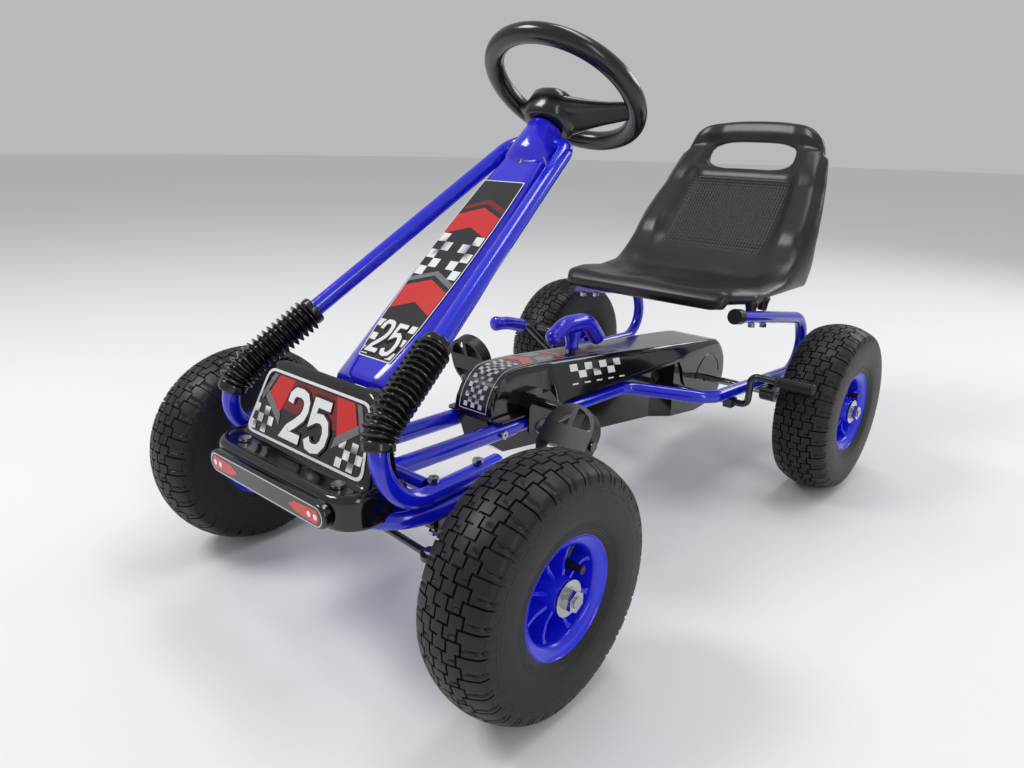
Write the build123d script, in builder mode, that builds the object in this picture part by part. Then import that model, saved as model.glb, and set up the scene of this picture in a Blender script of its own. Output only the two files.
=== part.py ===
from build123d import *
import os
from math import asin, atan2, cos, degrees, hypot, pi, radians, sin, tan

os.makedirs("parts", exist_ok=True)

# Pedal go kart. +Z is up, -Y is forward, +X is the driver's left, millimetres.
# The origin is on the ground in the middle of the kart.

# ---------------------------------------------------------------- overall sizes
wheelbase = 700.0
front_track = 500.0
rear_track = 520.0
front_axle_y = -389.0
rear_axle_y = front_axle_y + wheelbase
sides = {"left": 1, "right": -1}

# ---------------------------------------------------------------- fits
running_gap = 0.05
seated_gap = 0.02
face_gap = 0.5
moving_gap = 1.0

# ---------------------------------------------------------------- wheels
tyre_radius = 130.0
tyre_width = 84.0
tyre_wall = 6.0
tread_wall = 7.0
axle_z = tyre_radius
bead_radius = 51.3
rim_barrel_radius = 51.0
rim_wall = 3.0
rim_lip_radius = 61.7
rim_half_width = 36.0
rim_web_thickness = 4.0
rim_rib_count = 8
rim_rib_thickness = 3.0
rim_rib_turn = 22.5
hub_radius = 18.0
hub_half_length = 34.0
axle_radius = 6.0
bearing_outer_radius = 14.0
bearing_width = 8.0
washer_radius = 18.0
washer_thickness = 2.0
small_washer_radius = 11.0
nut_flat = 19.0
nut_thickness = 6.5
axle_tip = 2.0
valve_radius = 4.0
valve_angle = 45.0
valve_x = 12.0
valve_tip_x = 36.0
valve_tip_radius = 28.5
valve_bend_radius = 7.0
drive_pin_radius = 2.0
drive_pin_length = 30.0

# ---------------------------------------------------------------- front frame
front_tube_radius = 10.0
front_tube_wall = 1.5
leg_z = 195.0
leg_x = 132.0
leg_end_y = 70.0
leg_bend_radius = 48.0
strut_foot_x = 146.9
strut_foot_y = -194.0
strut_head = (46.0, 281.0, 513.0)
strut_tip = (17.0, 288.0, 519.0)
strut_head_radius = 22.0
bumper_x = 141.0
bumper_y = -87.0
bumper_end_x = 135.0
bumper_end_y = 42.0
bumper_bend_radius = 62.0
cross_tube_radius = 8.0
cross_tube_y = -28.0

rail_x = 38.0
rail_outer_radius = 11.0
rail_wall = 1.45
rail_start_z = 181.0
rail_end_y = 200.0
rear_tube_radius = 9.5
rear_tube_wall = 1.5
rear_tube_insert = 60.0
rail_bend = (38.0, -245.0, 167.0)
jog_corner = (156.0, -193.0, 165.0)
loop_low_corner = (164.0, 118.0, 149.0)
loop_high_corner = (163.0, 92.0, 241.0)
rail_at_brake_z = 161.9

# ---------------------------------------------------------------- steering
kingpin_x = 165.0
kingpin_radius = 5.0
knuckle_radius = 11.0
knuckle_half_height = 20.5
bracket_plate = 4.0
bracket_half_height = 23.0
bracket_web_x = 142.0
arm_length = 58.0
arm_half_width = 7.0
arm_thickness = 5.0
column_radius = 8.0
column_angle = degrees(atan2(1.2846, 1.0))
column_top_y = 330.0
column_top_z = 581.0
column_foot_z = 123.0
pitman_length = 40.0
pitman_thickness = 5.0
link_pin_radius = 3.0
tie_rod_radius = 4.0
tie_eye_radius = 10.0
tie_eye_thickness = 5.0
free_eye_gap = 2.5
wheel_ring_radius = 98.0
wheel_tube_radius = 12.8
wheel_dish = 43.0
wheel_hub_radius = 29.0
wheel_hub_height = 26.0
cap_radius = 20.0
cap_thickness = 5.0
bush_radius = 10.0
head_radius = 14.5
head_length = 34.0
head_z = 492.0
foot_z = 176.0
foot_length = 26.0
wing_thickness = 4.0

# ---------------------------------------------------------------- drive
crank_y = 244.0
crank_z = 198.0
crank_rod_radius = 6.0
crank_length = 73.0
crank_arm_x = 101.0
crank_end_x = 186.0
crank_bend_radius = 12.0
pedal_length = 80.0
pedal_height = 18.0
pedal_edge = 4.5
pedal_spine = 6.0
pedal_band = 26.0
pedal_tilt = {"left": 52.0, "right": 106.0}
chain_x = 15.0
chain_pitch = 12.7
front_teeth = 18
rear_teeth = 14
roller_radius = 3.9
sprocket_thickness = 3.0
chain_half_width = 3.6
chain_plate = 1.0
sprocket_hub_radius = 12.0
sprocket_hub_width = 16.0
saddle_width = 20.0
saddle_length = 54.0
saddle_top = 14.0

# ---------------------------------------------------------------- covers
cover_wall = 2.2
case_top_half = 27.0
case_flange_half = 48.0
case_drum_radius = 66.0
case_drum_half = 45.0
case_front_y = 166.0
case_top_z = 247.0
shift_y = 370.0
shift_pivot_drop = 26.0
shift_pin_radius = 4.0
shift_ear_x = 6.0
shift_stem_radius = 5.0
nose_base_half = 124.0
nose_top_half = 96.0
nose_top_z = 292.0
nose_ledge_z = 209.0
nose_bottom_z = 176.0
bar_half_length = 104.0
bar_height = 26.0
bar_depth = 10.0
bellows_radius = 19.5

# ---------------------------------------------------------------- rear frame, brake and seat
housing_radius = 14.5
housing_length = 24.0
housing_x = 163.0
axle_bush_radius = 10.0
brake_rod_radius = 5.0
brake_y = -133.0
brake_z = 146.5
brake_sleeve_radius = 8.0
brake_sleeve_y = -136.0
brake_sleeve_z = 194.0
brake_sleeve_start = 225.0
brake_sleeve_end = 283.0
grip_radius = 12.0
seat_rail_end = (157.0, -146.0, 280.0)
seat_thickness = 12.0
seat_half_width = 163.0
seat_front_half = 148.0
seat_back_half = 116.0
seat_bolt_y = (-92.0, -52.0)
bolt_radius = 3.0
seat_bolt_top = 304.0
bolt_hole_radius = 3.2
bolt_head_radius = 6.0


# ---------------------------------------------------------------- shared helpers
def front(x, y, z):
    """A point whose y is counted from the front axle."""
    return (x, front_axle_y + y, z)


def rear(x, y, z):
    """A point whose y is counted from the rear axle."""
    return (x, rear_axle_y + y, z)


def save(piece, name):
    """Labels a finished sub-part and writes its STEP file."""
    piece.part.label = name
    export_step(piece.part, f"parts/{name}.step")


def cross_plane(point, direction):
    """A plane at point whose normal is direction."""
    return Plane(origin=point, z_dir=direction)


def x_plane(x, y, z, side=1):
    """A plane whose normal points out of the kart along X, with its x axis along +Y."""
    return Plane(origin=(x, y, z), x_dir=(0, 1, 0), z_dir=(side, 0, 0))


def swept_rod(points, bend_radius, outer_radius, bore_radius=0.0):
    """A bent round bar or tube along straight runs joined by arcs."""
    with BuildPart() as rod:
        with BuildLine() as route:
            if len(points) > 2:
                FilletPolyline(*points, radius=bend_radius)
            else:
                Line(*points)
        with BuildSketch(cross_plane(route.line @ 0, route.line % 0)):
            Circle(outer_radius)
            if bore_radius > 0:
                Circle(bore_radius, mode=Mode.SUBTRACT)
        sweep(path=route.line)
    return rod.part


def rod_between(start, end, radius):
    """A straight round bar from start to end."""
    run = Vector(*end) - Vector(*start)
    with BuildPart() as rod:
        with BuildSketch(cross_plane(start, run)):
            Circle(radius)
        extrude(amount=run.length)
    return rod.part


def hex_nut(start, direction, flat, thickness, hole_radius):
    """A hexagonal nut that starts on a plane at start and grows along direction."""
    with BuildPart() as nut:
        with BuildSketch(cross_plane(start, direction)):
            RegularPolygon(flat / 2, 6, major_radius=False)
            Circle(hole_radius, mode=Mode.SUBTRACT)
        extrude(amount=thickness)
    return nut.part


# ---------------------------------------------------------------- shared routes and axes
rear_bend = rear(*rail_bend)
rail_start = front(rail_x, bumper_y + front_tube_radius + face_gap, rail_start_z)
rail_slope = (rear_bend[2] - rail_start[2]) / (rear_bend[1] - rail_start[1])


def rail_z(y):
    """Height of a rail's centre line at y."""
    return rail_start[2] + rail_slope * (y - rail_start[1])


def rail_point(side, y):
    return (side * rail_x, y, rail_z(y))


column_run = Vector(0, cos(radians(column_angle)), sin(radians(column_angle)))
pitman_run = Vector(0, -sin(radians(column_angle)), cos(radians(column_angle)))
column_top = Vector(*front(0, column_top_y, column_top_z))


def column_at(z):
    """The point of the column's axis at height z."""
    return column_top - column_run * ((column_top.Z - z) / column_run.Z)


def front_tube_points(side):
    return [
        front(side * leg_x, leg_end_y, leg_z),
        front(side * strut_foot_x, strut_foot_y, leg_z),
        front(side * strut_head[0], strut_head[1], strut_head[2]),
        front(side * strut_tip[0], strut_tip[1], strut_tip[2]),
    ]


front_tube_bends = [leg_bend_radius, strut_head_radius]
bumper_z = leg_z - 2 * front_tube_radius - seated_gap
bumper_points = [
    front(bumper_end_x, bumper_end_y, bumper_z),
    front(bumper_x, bumper_y, bumper_z),
    front(-bumper_x, bumper_y, bumper_z),
    front(-bumper_end_x, bumper_end_y, bumper_z),
]


def rear_tube_points(side):
    start_y = front_axle_y + rail_end_y - rear_tube_insert
    rail_seat = seat_rail_end
    return [
        rail_point(side, start_y),
        (side * rail_bend[0], rear_bend[1], rear_bend[2]),
        rear(side * jog_corner[0], jog_corner[1], jog_corner[2]),
        rear(side * loop_low_corner[0], loop_low_corner[1], loop_low_corner[2]),
        rear(side * loop_high_corner[0], loop_high_corner[1], loop_high_corner[2]),
        rear(side * rail_seat[0], rail_seat[1], rail_seat[2]),
    ]


rear_tube_bends = [30.0, 42.0, 45.0, 40.0]
seat_rail_run = seat_rail_end[1] - loop_high_corner[1]
seat_rail_slope = (seat_rail_end[2] - loop_high_corner[2]) / seat_rail_run


def seat_rail_point(side, y):
    """A point of the seat rail's centre line, y counted from the rear axle."""
    along = y - loop_high_corner[1]
    x = loop_high_corner[0] + along / seat_rail_run * (seat_rail_end[0] - loop_high_corner[0])
    return rear(side * x, y, loop_high_corner[2] + seat_rail_slope * along)


# ---------------------------------------------------------------- wheels
section_mid_radius = (rim_lip_radius + tyre_radius) / 2 - 4
shoulder_radius = tyre_radius - 13
bead_outer_x = rim_half_width - 6.6


def make_tyre(name, x, y):
    """Air tyre: a bead on each side, round side walls and a crowned tread."""
    widest = tyre_width / 2
    shoulder = widest - 7
    neck_radius = rim_lip_radius - 1.7
    neck_x = bead_outer_x + 2
    with BuildPart() as tyre:
        with BuildSketch(Plane((x, y, axle_z))):
            with BuildLine():
                Polyline((neck_x, neck_radius), (bead_outer_x, bead_radius),
                         (bead_outer_x - 9, bead_radius), (neck_x - 9, neck_radius))
                ThreePointArc((neck_x - 9, neck_radius), (widest - tyre_wall, section_mid_radius),
                              (shoulder - tyre_wall, shoulder_radius - 4))
                ThreePointArc((shoulder - tyre_wall, shoulder_radius - 4), (0, tyre_radius - tread_wall),
                              (tyre_wall - shoulder, shoulder_radius - 4))
                ThreePointArc((tyre_wall - shoulder, shoulder_radius - 4),
                              (tyre_wall - widest, section_mid_radius), (9 - neck_x, neck_radius))
                Polyline((9 - neck_x, neck_radius), (9 - bead_outer_x, bead_radius),
                         (-bead_outer_x, bead_radius), (-neck_x, neck_radius))
                ThreePointArc((-neck_x, neck_radius), (-widest, section_mid_radius),
                              (-shoulder, shoulder_radius))
                ThreePointArc((-shoulder, shoulder_radius), (0, tyre_radius), (shoulder, shoulder_radius))
                ThreePointArc((shoulder, shoulder_radius), (widest, section_mid_radius),
                              (neck_x, neck_radius))
            make_face()
        revolve(axis=Axis((x, y, axle_z), (1, 0, 0)))
    save(tyre, name)


tube_room = (tyre_radius - tread_wall - bead_radius) / 2
tube_minor = min(tube_room, tyre_width / 2 - tyre_wall) - 2
tube_major = bead_radius + tube_room


def inner_tube(x, y, side):
    """Rubber inner tube with its valve stem, which comes in through the rim and turns outward."""
    stem_x = x + side * valve_x
    stem_out = tube_major - tube_minor + 4
    with BuildPart() as tube:
        with BuildSketch(Plane((x, y, axle_z))):
            with Locations((0, tube_major)):
                Circle(tube_minor)
                Circle(tube_minor - 2, mode=Mode.SUBTRACT)
        revolve(axis=Axis((x, y, axle_z), (1, 0, 0)))
        turn = radians(valve_angle)
        foot = (stem_x, y + stem_out * cos(turn), axle_z + stem_out * sin(turn))
        elbow = (stem_x, y + valve_tip_radius * cos(turn), axle_z + valve_tip_radius * sin(turn))
        tip = (x + side * valve_tip_x, elbow[1], elbow[2])
        add(swept_rod([foot, elbow, tip], valve_bend_radius, valve_radius))
    return tube.part


def make_rim(name, x, y, side, has_bearings):
    """Moulded rim: barrel with two lips, a web with ribs, and the hub."""
    lip_inner = rim_half_width - rim_wall
    seat_x = rim_half_width - 6
    with BuildPart(x_plane(x, y, axle_z, side)) as rim:
        with BuildSketch(Plane((x, y, axle_z), x_dir=(side, 0, 0))):
            with BuildLine():
                Polyline(
                    (-rim_half_width, rim_lip_radius), (-lip_inner, rim_lip_radius),
                    (-seat_x, rim_barrel_radius), (seat_x, rim_barrel_radius),
                    (lip_inner, rim_lip_radius), (rim_half_width, rim_lip_radius),
                    (rim_half_width, rim_lip_radius - rim_wall),
                    (seat_x, rim_barrel_radius - rim_wall), (-seat_x, rim_barrel_radius - rim_wall),
                    (-rim_half_width, rim_lip_radius - rim_wall), close=True)
            make_face()
            with Locations((0, (hub_radius + axle_radius) / 2)):
                Rectangle(2 * hub_half_length, hub_radius - axle_radius)
            web_height = rim_barrel_radius - rim_wall / 2 - axle_radius - 1
            with Locations((0, axle_radius + 1 + web_height / 2)):
                Rectangle(rim_web_thickness, web_height)
        revolve(axis=Axis((x, y, axle_z), (1, 0, 0)))
        rib_length = rim_barrel_radius - rim_wall / 2 - hub_radius + 2
        with PolarLocations(hub_radius - 1 + rib_length / 2, rim_rib_count, start_angle=rim_rib_turn):
            Box(rib_length, rim_rib_thickness, hub_half_length)
        if has_bearings:
            Cylinder(axle_radius + 2, 3 * hub_half_length, mode=Mode.SUBTRACT)
            with Locations((0, 0, hub_half_length), (0, 0, -hub_half_length)):
                Cylinder(bearing_outer_radius + seated_gap, 2 * bearing_width, mode=Mode.SUBTRACT)
        else:
            Cylinder(axle_radius + seated_gap, 3 * hub_half_length, mode=Mode.SUBTRACT)
            with Locations((0, 0, -hub_half_length)):
                Box(2 * drive_pin_radius + 0.2, drive_pin_length + 2, 10, mode=Mode.SUBTRACT)
        with Locations((0, 0, valve_x)):
            with PolarLocations(rim_barrel_radius, 1, start_angle=side * valve_angle):
                Cylinder(valve_radius + 0.5, 40, rotation=(0, 90, 0), mode=Mode.SUBTRACT)
    save(rim, name)


def hub_stack(x, y, side):
    """Wide washer, small washer and nut on the outer end of an axle."""
    start = x + side * (hub_half_length + face_gap)
    second = start + side * (washer_thickness + running_gap)
    third = second + side * (washer_thickness + running_gap)
    with BuildPart() as stack:
        with BuildSketch(x_plane(start, y, axle_z, side)):
            Circle(washer_radius)
            Circle(axle_radius + seated_gap, mode=Mode.SUBTRACT)
        extrude(amount=washer_thickness)
    with BuildPart() as small:
        with BuildSketch(x_plane(second, y, axle_z, side)):
            Circle(small_washer_radius)
            Circle(axle_radius + seated_gap, mode=Mode.SUBTRACT)
        extrude(amount=washer_thickness)
    nut = hex_nut((third, y, axle_z), (side, 0, 0), nut_flat, nut_thickness, axle_radius + seated_gap)
    return [stack.part, small.part, nut]


axle_overhang = hub_half_length + face_gap + 2 * washer_thickness + nut_thickness + axle_tip

for label, side in sides.items():
    for end, track, y in (("front", front_track, front_axle_y), ("rear", rear_track, rear_axle_y)):
        wheel_x = side * track / 2
        make_tyre(f"{end}_tyre_{label}", wheel_x, y)
        make_rim(f"{end}_rim_{label}", wheel_x, y, side, end == "front")

    wheel_x = side * front_track / 2
    with BuildPart() as tube:
        add(inner_tube(wheel_x, front_axle_y, side))
    save(tube, f"front_inner_tube_{label}")

    with BuildPart(x_plane(wheel_x, front_axle_y, axle_z, side)) as bearings:
        with Locations((0, 0, hub_half_length - bearing_width / 2),
                       (0, 0, bearing_width / 2 - hub_half_length)):
            Cylinder(bearing_outer_radius, bearing_width)
            Cylinder(axle_radius + running_gap, bearing_width, mode=Mode.SUBTRACT)
    save(bearings, f"wheel_bearings_{label}")

    with BuildPart() as hardware:
        add(hub_stack(wheel_x, front_axle_y, side))
    save(hardware, f"front_hub_nuts_{label}")

with BuildPart() as tubes:
    for side in sides.values():
        add(inner_tube(side * rear_track / 2, rear_axle_y, side))
save(tubes, "rear_inner_tubes")

with BuildPart() as rear_hardware:
    for side in sides.values():
        wheel_x = side * rear_track / 2
        add(hub_stack(wheel_x, rear_axle_y, side))
        pin_x = wheel_x - side * (hub_half_length - 2.5)
        top = (pin_x, rear_axle_y, axle_z + drive_pin_length / 2)
        bottom = (pin_x, rear_axle_y, axle_z - drive_pin_length / 2)
        add(rod_between(bottom, top, drive_pin_radius))
save(rear_hardware, "rear_hub_nuts")

# ---------------------------------------------------------------- knuckles and kingpins
arm_top_z = axle_z + knuckle_half_height - 4
link_z = arm_top_z + face_gap + tie_eye_thickness / 2
pitman_tip = column_at(column_foot_z) + pitman_run * pitman_length

for label, side in sides.items():
    pin = front(side * kingpin_x, 0, axle_z)
    arm_y = front_axle_y - arm_length
    with BuildPart() as knuckle:
        with BuildSketch(Plane((pin[0], pin[1], axle_z - knuckle_half_height))):
            Circle(knuckle_radius)
        extrude(amount=2 * knuckle_half_height)
        stub_end = side * (front_track / 2 + axle_overhang)
        add(rod_between(pin, (stub_end, pin[1], axle_z), axle_radius))
        collar_end = side * (front_track / 2 - hub_half_length - face_gap)
        add(rod_between(pin, (collar_end, pin[1], axle_z), axle_radius + 3))
        with BuildSketch(Plane((pin[0], front_axle_y - arm_length / 2, arm_top_z - arm_thickness))):
            Rectangle(2 * arm_half_width, arm_length)
            with Locations((0, -arm_length / 2)):
                Circle(tie_eye_radius - 1)
        extrude(amount=arm_thickness)
        with BuildSketch(Plane((pin[0], pin[1], axle_z - knuckle_half_height))):
            Circle(kingpin_radius + running_gap)
        extrude(amount=2 * knuckle_half_height, mode=Mode.SUBTRACT)
        link_base = (pin[0], arm_y, arm_top_z - arm_thickness)
        link_top = (pin[0], arm_y, arm_top_z + tie_eye_thickness + 5)
        add(rod_between(link_base, link_top, link_pin_radius))
        link_head = (pin[0], arm_y, arm_top_z + tie_eye_thickness + 1.5)
        add(rod_between(link_head, link_top, link_pin_radius + 3))
    save(knuckle, f"knuckle_{label}")

with BuildPart() as kingpins:
    for side in sides.values():
        low = front(side * kingpin_x, 0, axle_z - bracket_half_height - 8)
        high = front(side * kingpin_x, 0, axle_z + bracket_half_height + 8)
        add(rod_between(low, high, kingpin_radius))
        head = front(side * kingpin_x, 0, axle_z + bracket_half_height + bracket_plate + seated_gap)
        add(hex_nut(head, (0, 0, 1), 16, 6, kingpin_radius / 2))
        foot = front(side * kingpin_x, 0, axle_z - bracket_half_height - bracket_plate - seated_gap)
        add(hex_nut(foot, (0, 0, -1), 16, 6, kingpin_radius / 2))
save(kingpins, "kingpin_bolts")

leg_bolt_y = (-26.0, 36.0)


def leg_bolt_x(side):
    return side * (bumper_end_x + 0.5)


with BuildPart() as brackets:
    for side in sides.values():
        web = front(side * bracket_web_x, 8, axle_z)
        inner_x = bumper_end_x - 14
        outer_x = kingpin_x + knuckle_radius + 3
        top_z = axle_z + bracket_half_height + bracket_plate / 2
        with BuildSketch(Plane(front(side * (inner_x + outer_x) / 2, 8, top_z - bracket_plate / 2))):
            Rectangle(outer_x - inner_x, 70)
        extrude(amount=bracket_plate)
        with BuildSketch(Plane(front(side * (inner_x + outer_x) / 2, 8,
                                     axle_z - bracket_half_height - bracket_plate))):
            with Locations((side * (bracket_web_x - bracket_plate / 2 - inner_x) / 2, -8)):
                Rectangle(outer_x - bracket_web_x + bracket_plate / 2, 34)
        extrude(amount=bracket_plate)
        with BuildSketch(Plane(front(side * bracket_web_x, 0,
                                     axle_z - bracket_half_height - bracket_plate))):
            Rectangle(bracket_plate, 34)
        extrude(amount=2 * bracket_half_height + 2 * bracket_plate)
        for y in leg_bolt_y:
            low = front(leg_bolt_x(side), y, top_z - bracket_plate)
            high = front(leg_bolt_x(side), y, top_z + bracket_plate)
            add(rod_between(low, high, bolt_hole_radius), mode=Mode.SUBTRACT)
        low = front(side * kingpin_x, 0, 0)
        high = front(side * kingpin_x, 0, 2 * axle_z)
        add(rod_between(low, high, kingpin_radius + seated_gap), mode=Mode.SUBTRACT)
        spacer_z = top_z + bracket_plate / 2
        spacer_height = bumper_z - front_tube_radius - spacer_z - seated_gap
        for y in leg_bolt_y:
            with BuildSketch(Plane(front(leg_bolt_x(side), y, spacer_z))):
                Circle(bolt_head_radius)
                Circle(bolt_hole_radius, mode=Mode.SUBTRACT)
            extrude(amount=spacer_height)
save(brackets, "kingpin_brackets")

# ---------------------------------------------------------------- front frame tubes
front_bore = front_tube_radius - front_tube_wall

for label, side in sides.items():
    with BuildPart() as tube:
        add(swept_rod(front_tube_points(side), front_tube_bends, front_tube_radius, front_bore))
        for y in leg_bolt_y:
            low = front(leg_bolt_x(side), y, leg_z - 2 * front_tube_radius)
            high = front(leg_bolt_x(side), y, leg_z + 2 * front_tube_radius)
            add(rod_between(low, high, bolt_hole_radius), mode=Mode.SUBTRACT)
    save(tube, f"front_tube_{label}")

with BuildPart() as bumper:
    add(swept_rod(bumper_points, bumper_bend_radius, front_tube_radius, front_bore))
    for side in sides.values():
        for y in leg_bolt_y:
            low = front(leg_bolt_x(side), y, bumper_z - 2 * front_tube_radius)
            high = front(leg_bolt_x(side), y, bumper_z + 2 * front_tube_radius)
            add(rod_between(low, high, bolt_hole_radius), mode=Mode.SUBTRACT)
save(bumper, "bumper_loop")

rail_end = front_axle_y + rail_end_y
rail_bore = rail_outer_radius - rail_wall
joint_bolt_y = rail_end - rear_tube_insert / 2
strut_inner_x = leg_x + 4.5 - front_tube_radius

cross_z = rail_z(front_axle_y + cross_tube_y) + rail_outer_radius + cross_tube_radius + running_gap


def cross_tube():
    """The tube across the kart that joins the two legs above the rails."""
    low = front(-strut_inner_x, cross_tube_y, cross_z)
    high = front(strut_inner_x, cross_tube_y, cross_z)
    with BuildPart() as cross:
        add(swept_rod([low, high], 0, cross_tube_radius, cross_tube_radius - 1.5))
        for side in sides.values():
            add(swept_rod(front_tube_points(side), front_tube_bends, front_tube_radius + seated_gap),
                mode=Mode.SUBTRACT)
    return cross.part


with BuildPart() as rails:
    for side in sides.values():
        start = (side * rail_start[0], rail_start[1], rail_start[2])
        add(swept_rod([start, rail_point(side, rail_end)], 0, rail_outer_radius, rail_bore))
        bolt_z = rail_z(joint_bolt_y)
        low = (side * (rail_x - 20), joint_bolt_y, bolt_z)
        high = (side * (rail_x + 20), joint_bolt_y, bolt_z)
        add(rod_between(low, high, bolt_hole_radius), mode=Mode.SUBTRACT)
    add(cross_tube())
save(rails, "front_rails")


# ---------------------------------------------------------------- steering head, column and bushes
wheel_centre = column_top
hub_base = wheel_centre - column_run * (wheel_dish + wheel_hub_height / 2)
column_end = column_at(column_foot_z)


def bush_seat(z, length):
    """The tube that holds one column bush."""
    middle = column_at(z)
    with BuildPart() as seat:
        with BuildSketch(cross_plane(middle - column_run * (length / 2), column_run)):
            Circle(head_radius)
            Circle(bush_radius + seated_gap, mode=Mode.SUBTRACT)
        extrude(amount=length)
    return seat.part


def wing(z, half_span, width):
    """A flat plate across the kart that carries a bush seat."""
    middle = column_at(z)
    plane = Plane(origin=middle - pitman_run * (wing_thickness / 2), x_dir=(1, 0, 0), z_dir=pitman_run)
    with BuildPart() as plate:
        with BuildSketch(plane):
            Rectangle(2 * half_span, width)
        extrude(amount=wing_thickness)
    return plate.part


def column_clearance(radius):
    return rod_between(tuple(column_at(60)), tuple(column_top), radius)


with BuildPart() as seats:
    add(bush_seat(head_z, head_length))
    add(wing(head_z, strut_head[0] - 2, head_length - 14))
    add(bush_seat(foot_z, foot_length))
    add(wing(foot_z, rail_x, foot_length - 8))
    add(column_clearance(bush_radius + seated_gap), mode=Mode.SUBTRACT)
    for side in sides.values():
        add(swept_rod(front_tube_points(side), front_tube_bends, front_tube_radius + seated_gap),
            mode=Mode.SUBTRACT)
        start = (side * rail_start[0], rail_start[1] - 5, rail_z(rail_start[1] - 5))
        add(rod_between(start, rail_point(side, rail_end), rail_outer_radius + seated_gap),
            mode=Mode.SUBTRACT)
save(seats, "column_seats")

with BuildPart() as bushes:
    for z, length in ((head_z, head_length), (foot_z, foot_length)):
        with BuildSketch(cross_plane(column_at(z) - column_run * (length / 2), column_run)):
            Circle(bush_radius)
            Circle(column_radius + running_gap, mode=Mode.SUBTRACT)
        extrude(amount=length)
    for side in sides.values():
        with BuildSketch(x_plane(side * (housing_x - housing_length / 2), rear_axle_y, axle_z, side)):
            Circle(axle_bush_radius)
            Circle(axle_radius + running_gap, mode=Mode.SUBTRACT)
        extrude(amount=housing_length)
save(bushes, "bushes")

pitman_plane = Plane(origin=column_end, x_dir=(1, 0, 0), z_dir=column_run)
link_offset = 11.0
with BuildPart() as column:
    add(rod_between(tuple(column_end), tuple(hub_base + column_run * wheel_hub_height * 0.7), column_radius))
    with BuildSketch(pitman_plane):
        with Locations((0, -pitman_length / 2)):
            Rectangle(2 * column_radius + 4, pitman_length)
        Circle(column_radius + 4)
        with Locations((0, -pitman_length)):
            Rectangle(2 * link_offset + 12, 14)
    extrude(amount=pitman_thickness)
    for side in sides.values():
        pin_foot = pitman_tip + Vector(side * link_offset, 0, 0)
        pin_top = pin_foot + column_run * (pitman_thickness + tie_eye_thickness + 7)
        add(rod_between(tuple(pin_foot), tuple(pin_top), link_pin_radius))
        add(rod_between(tuple(pin_top - column_run * 2), tuple(pin_top), link_pin_radius + 4))
save(column, "steering_column")

for label, side in sides.items():
    outer = front(side * kingpin_x, -arm_length, link_z)
    eye_lift = pitman_thickness + 2.5 + tie_eye_thickness / 2
    inner = pitman_tip + Vector(side * link_offset, 0, 0) + column_run * eye_lift
    with BuildPart() as tie_rod:
        add(rod_between(outer, tuple(inner), tie_rod_radius))
        with BuildSketch(Plane((outer[0], outer[1], link_z - tie_eye_thickness / 2))):
            Circle(tie_eye_radius)
        extrude(amount=tie_eye_thickness)
        with BuildSketch(cross_plane(inner - column_run * (tie_eye_thickness / 2), column_run)):
            Circle(link_pin_radius + free_eye_gap + 3)
        extrude(amount=tie_eye_thickness)
        with BuildSketch(Plane((outer[0], outer[1], link_z - 3 * tie_eye_thickness))):
            Circle(link_pin_radius + running_gap)
        extrude(amount=3 * tie_eye_thickness + 12, mode=Mode.SUBTRACT)
        with BuildSketch(Plane((outer[0], outer[1], arm_top_z + tie_eye_thickness + 1.1))):
            Circle(link_pin_radius + 4.5)
        extrude(amount=12, mode=Mode.SUBTRACT)
        with BuildSketch(Plane((outer[0], outer[1], link_z - 3 * tie_eye_thickness))):
            Circle(tie_eye_radius + 4)
        extrude(amount=3 * tie_eye_thickness - tie_eye_thickness / 2, mode=Mode.SUBTRACT)
        with BuildSketch(cross_plane(inner - column_run * 14, column_run)):
            Circle(link_pin_radius + free_eye_gap)
        extrude(amount=28, mode=Mode.SUBTRACT)
        with BuildSketch(cross_plane(inner + column_run * (tie_eye_thickness / 2), column_run)):
            Circle(link_pin_radius + free_eye_gap + 6)
        extrude(amount=12, mode=Mode.SUBTRACT)
        with BuildSketch(cross_plane(inner - column_run * (tie_eye_thickness / 2), -column_run)):
            Circle(link_pin_radius + free_eye_gap + 6)
        extrude(amount=12, mode=Mode.SUBTRACT)
    save(tie_rod, f"tie_rod_{label}")

# ---------------------------------------------------------------- steering wheel
ring_plane = Plane(origin=wheel_centre, x_dir=(1, 0, 0), z_dir=column_run)
hub_z = -wheel_dish
with BuildPart(ring_plane) as steering_wheel:
    Torus(wheel_ring_radius, wheel_tube_radius)
    with Locations((0, 0, hub_z)):
        Cylinder(wheel_hub_radius, wheel_hub_height)
    for side in sides.values():
        with BuildSketch(Plane(origin=ring_plane.from_local_coords((side * 14, 0, hub_z)),
                               x_dir=tuple(ring_plane.y_dir), z_dir=(side, 0, 0))):
            RectangleRounded(44, wheel_hub_height - 4, 8)
        with BuildSketch(Plane(origin=ring_plane.from_local_coords((side * 62, -4, hub_z * 0.62)),
                               x_dir=tuple(ring_plane.y_dir), z_dir=(side, 0, 0))):
            RectangleRounded(26, 16, 6)
        with BuildSketch(Plane(origin=ring_plane.from_local_coords((side * 96, -6, -2)),
                               x_dir=tuple(ring_plane.y_dir), z_dir=(side, 0, 0))):
            RectangleRounded(30, 14, 5)
        loft(ruled=True)
    with Locations((0, 0, hub_z - wheel_hub_height * 0.3)):
        Cylinder(column_radius + seated_gap, wheel_hub_height * 1.0, mode=Mode.SUBTRACT)
save(steering_wheel, "steering_wheel")

with BuildPart(ring_plane) as cap:
    with Locations((0, 0, hub_z + wheel_hub_height / 2 + cap_thickness / 2 + seated_gap)):
        Cylinder(cap_radius, cap_thickness)
    fillet(cap.edges().sort_by(Axis(tuple(wheel_centre), tuple(column_run)))[-1], 2)
save(cap, "steering_cap")

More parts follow.
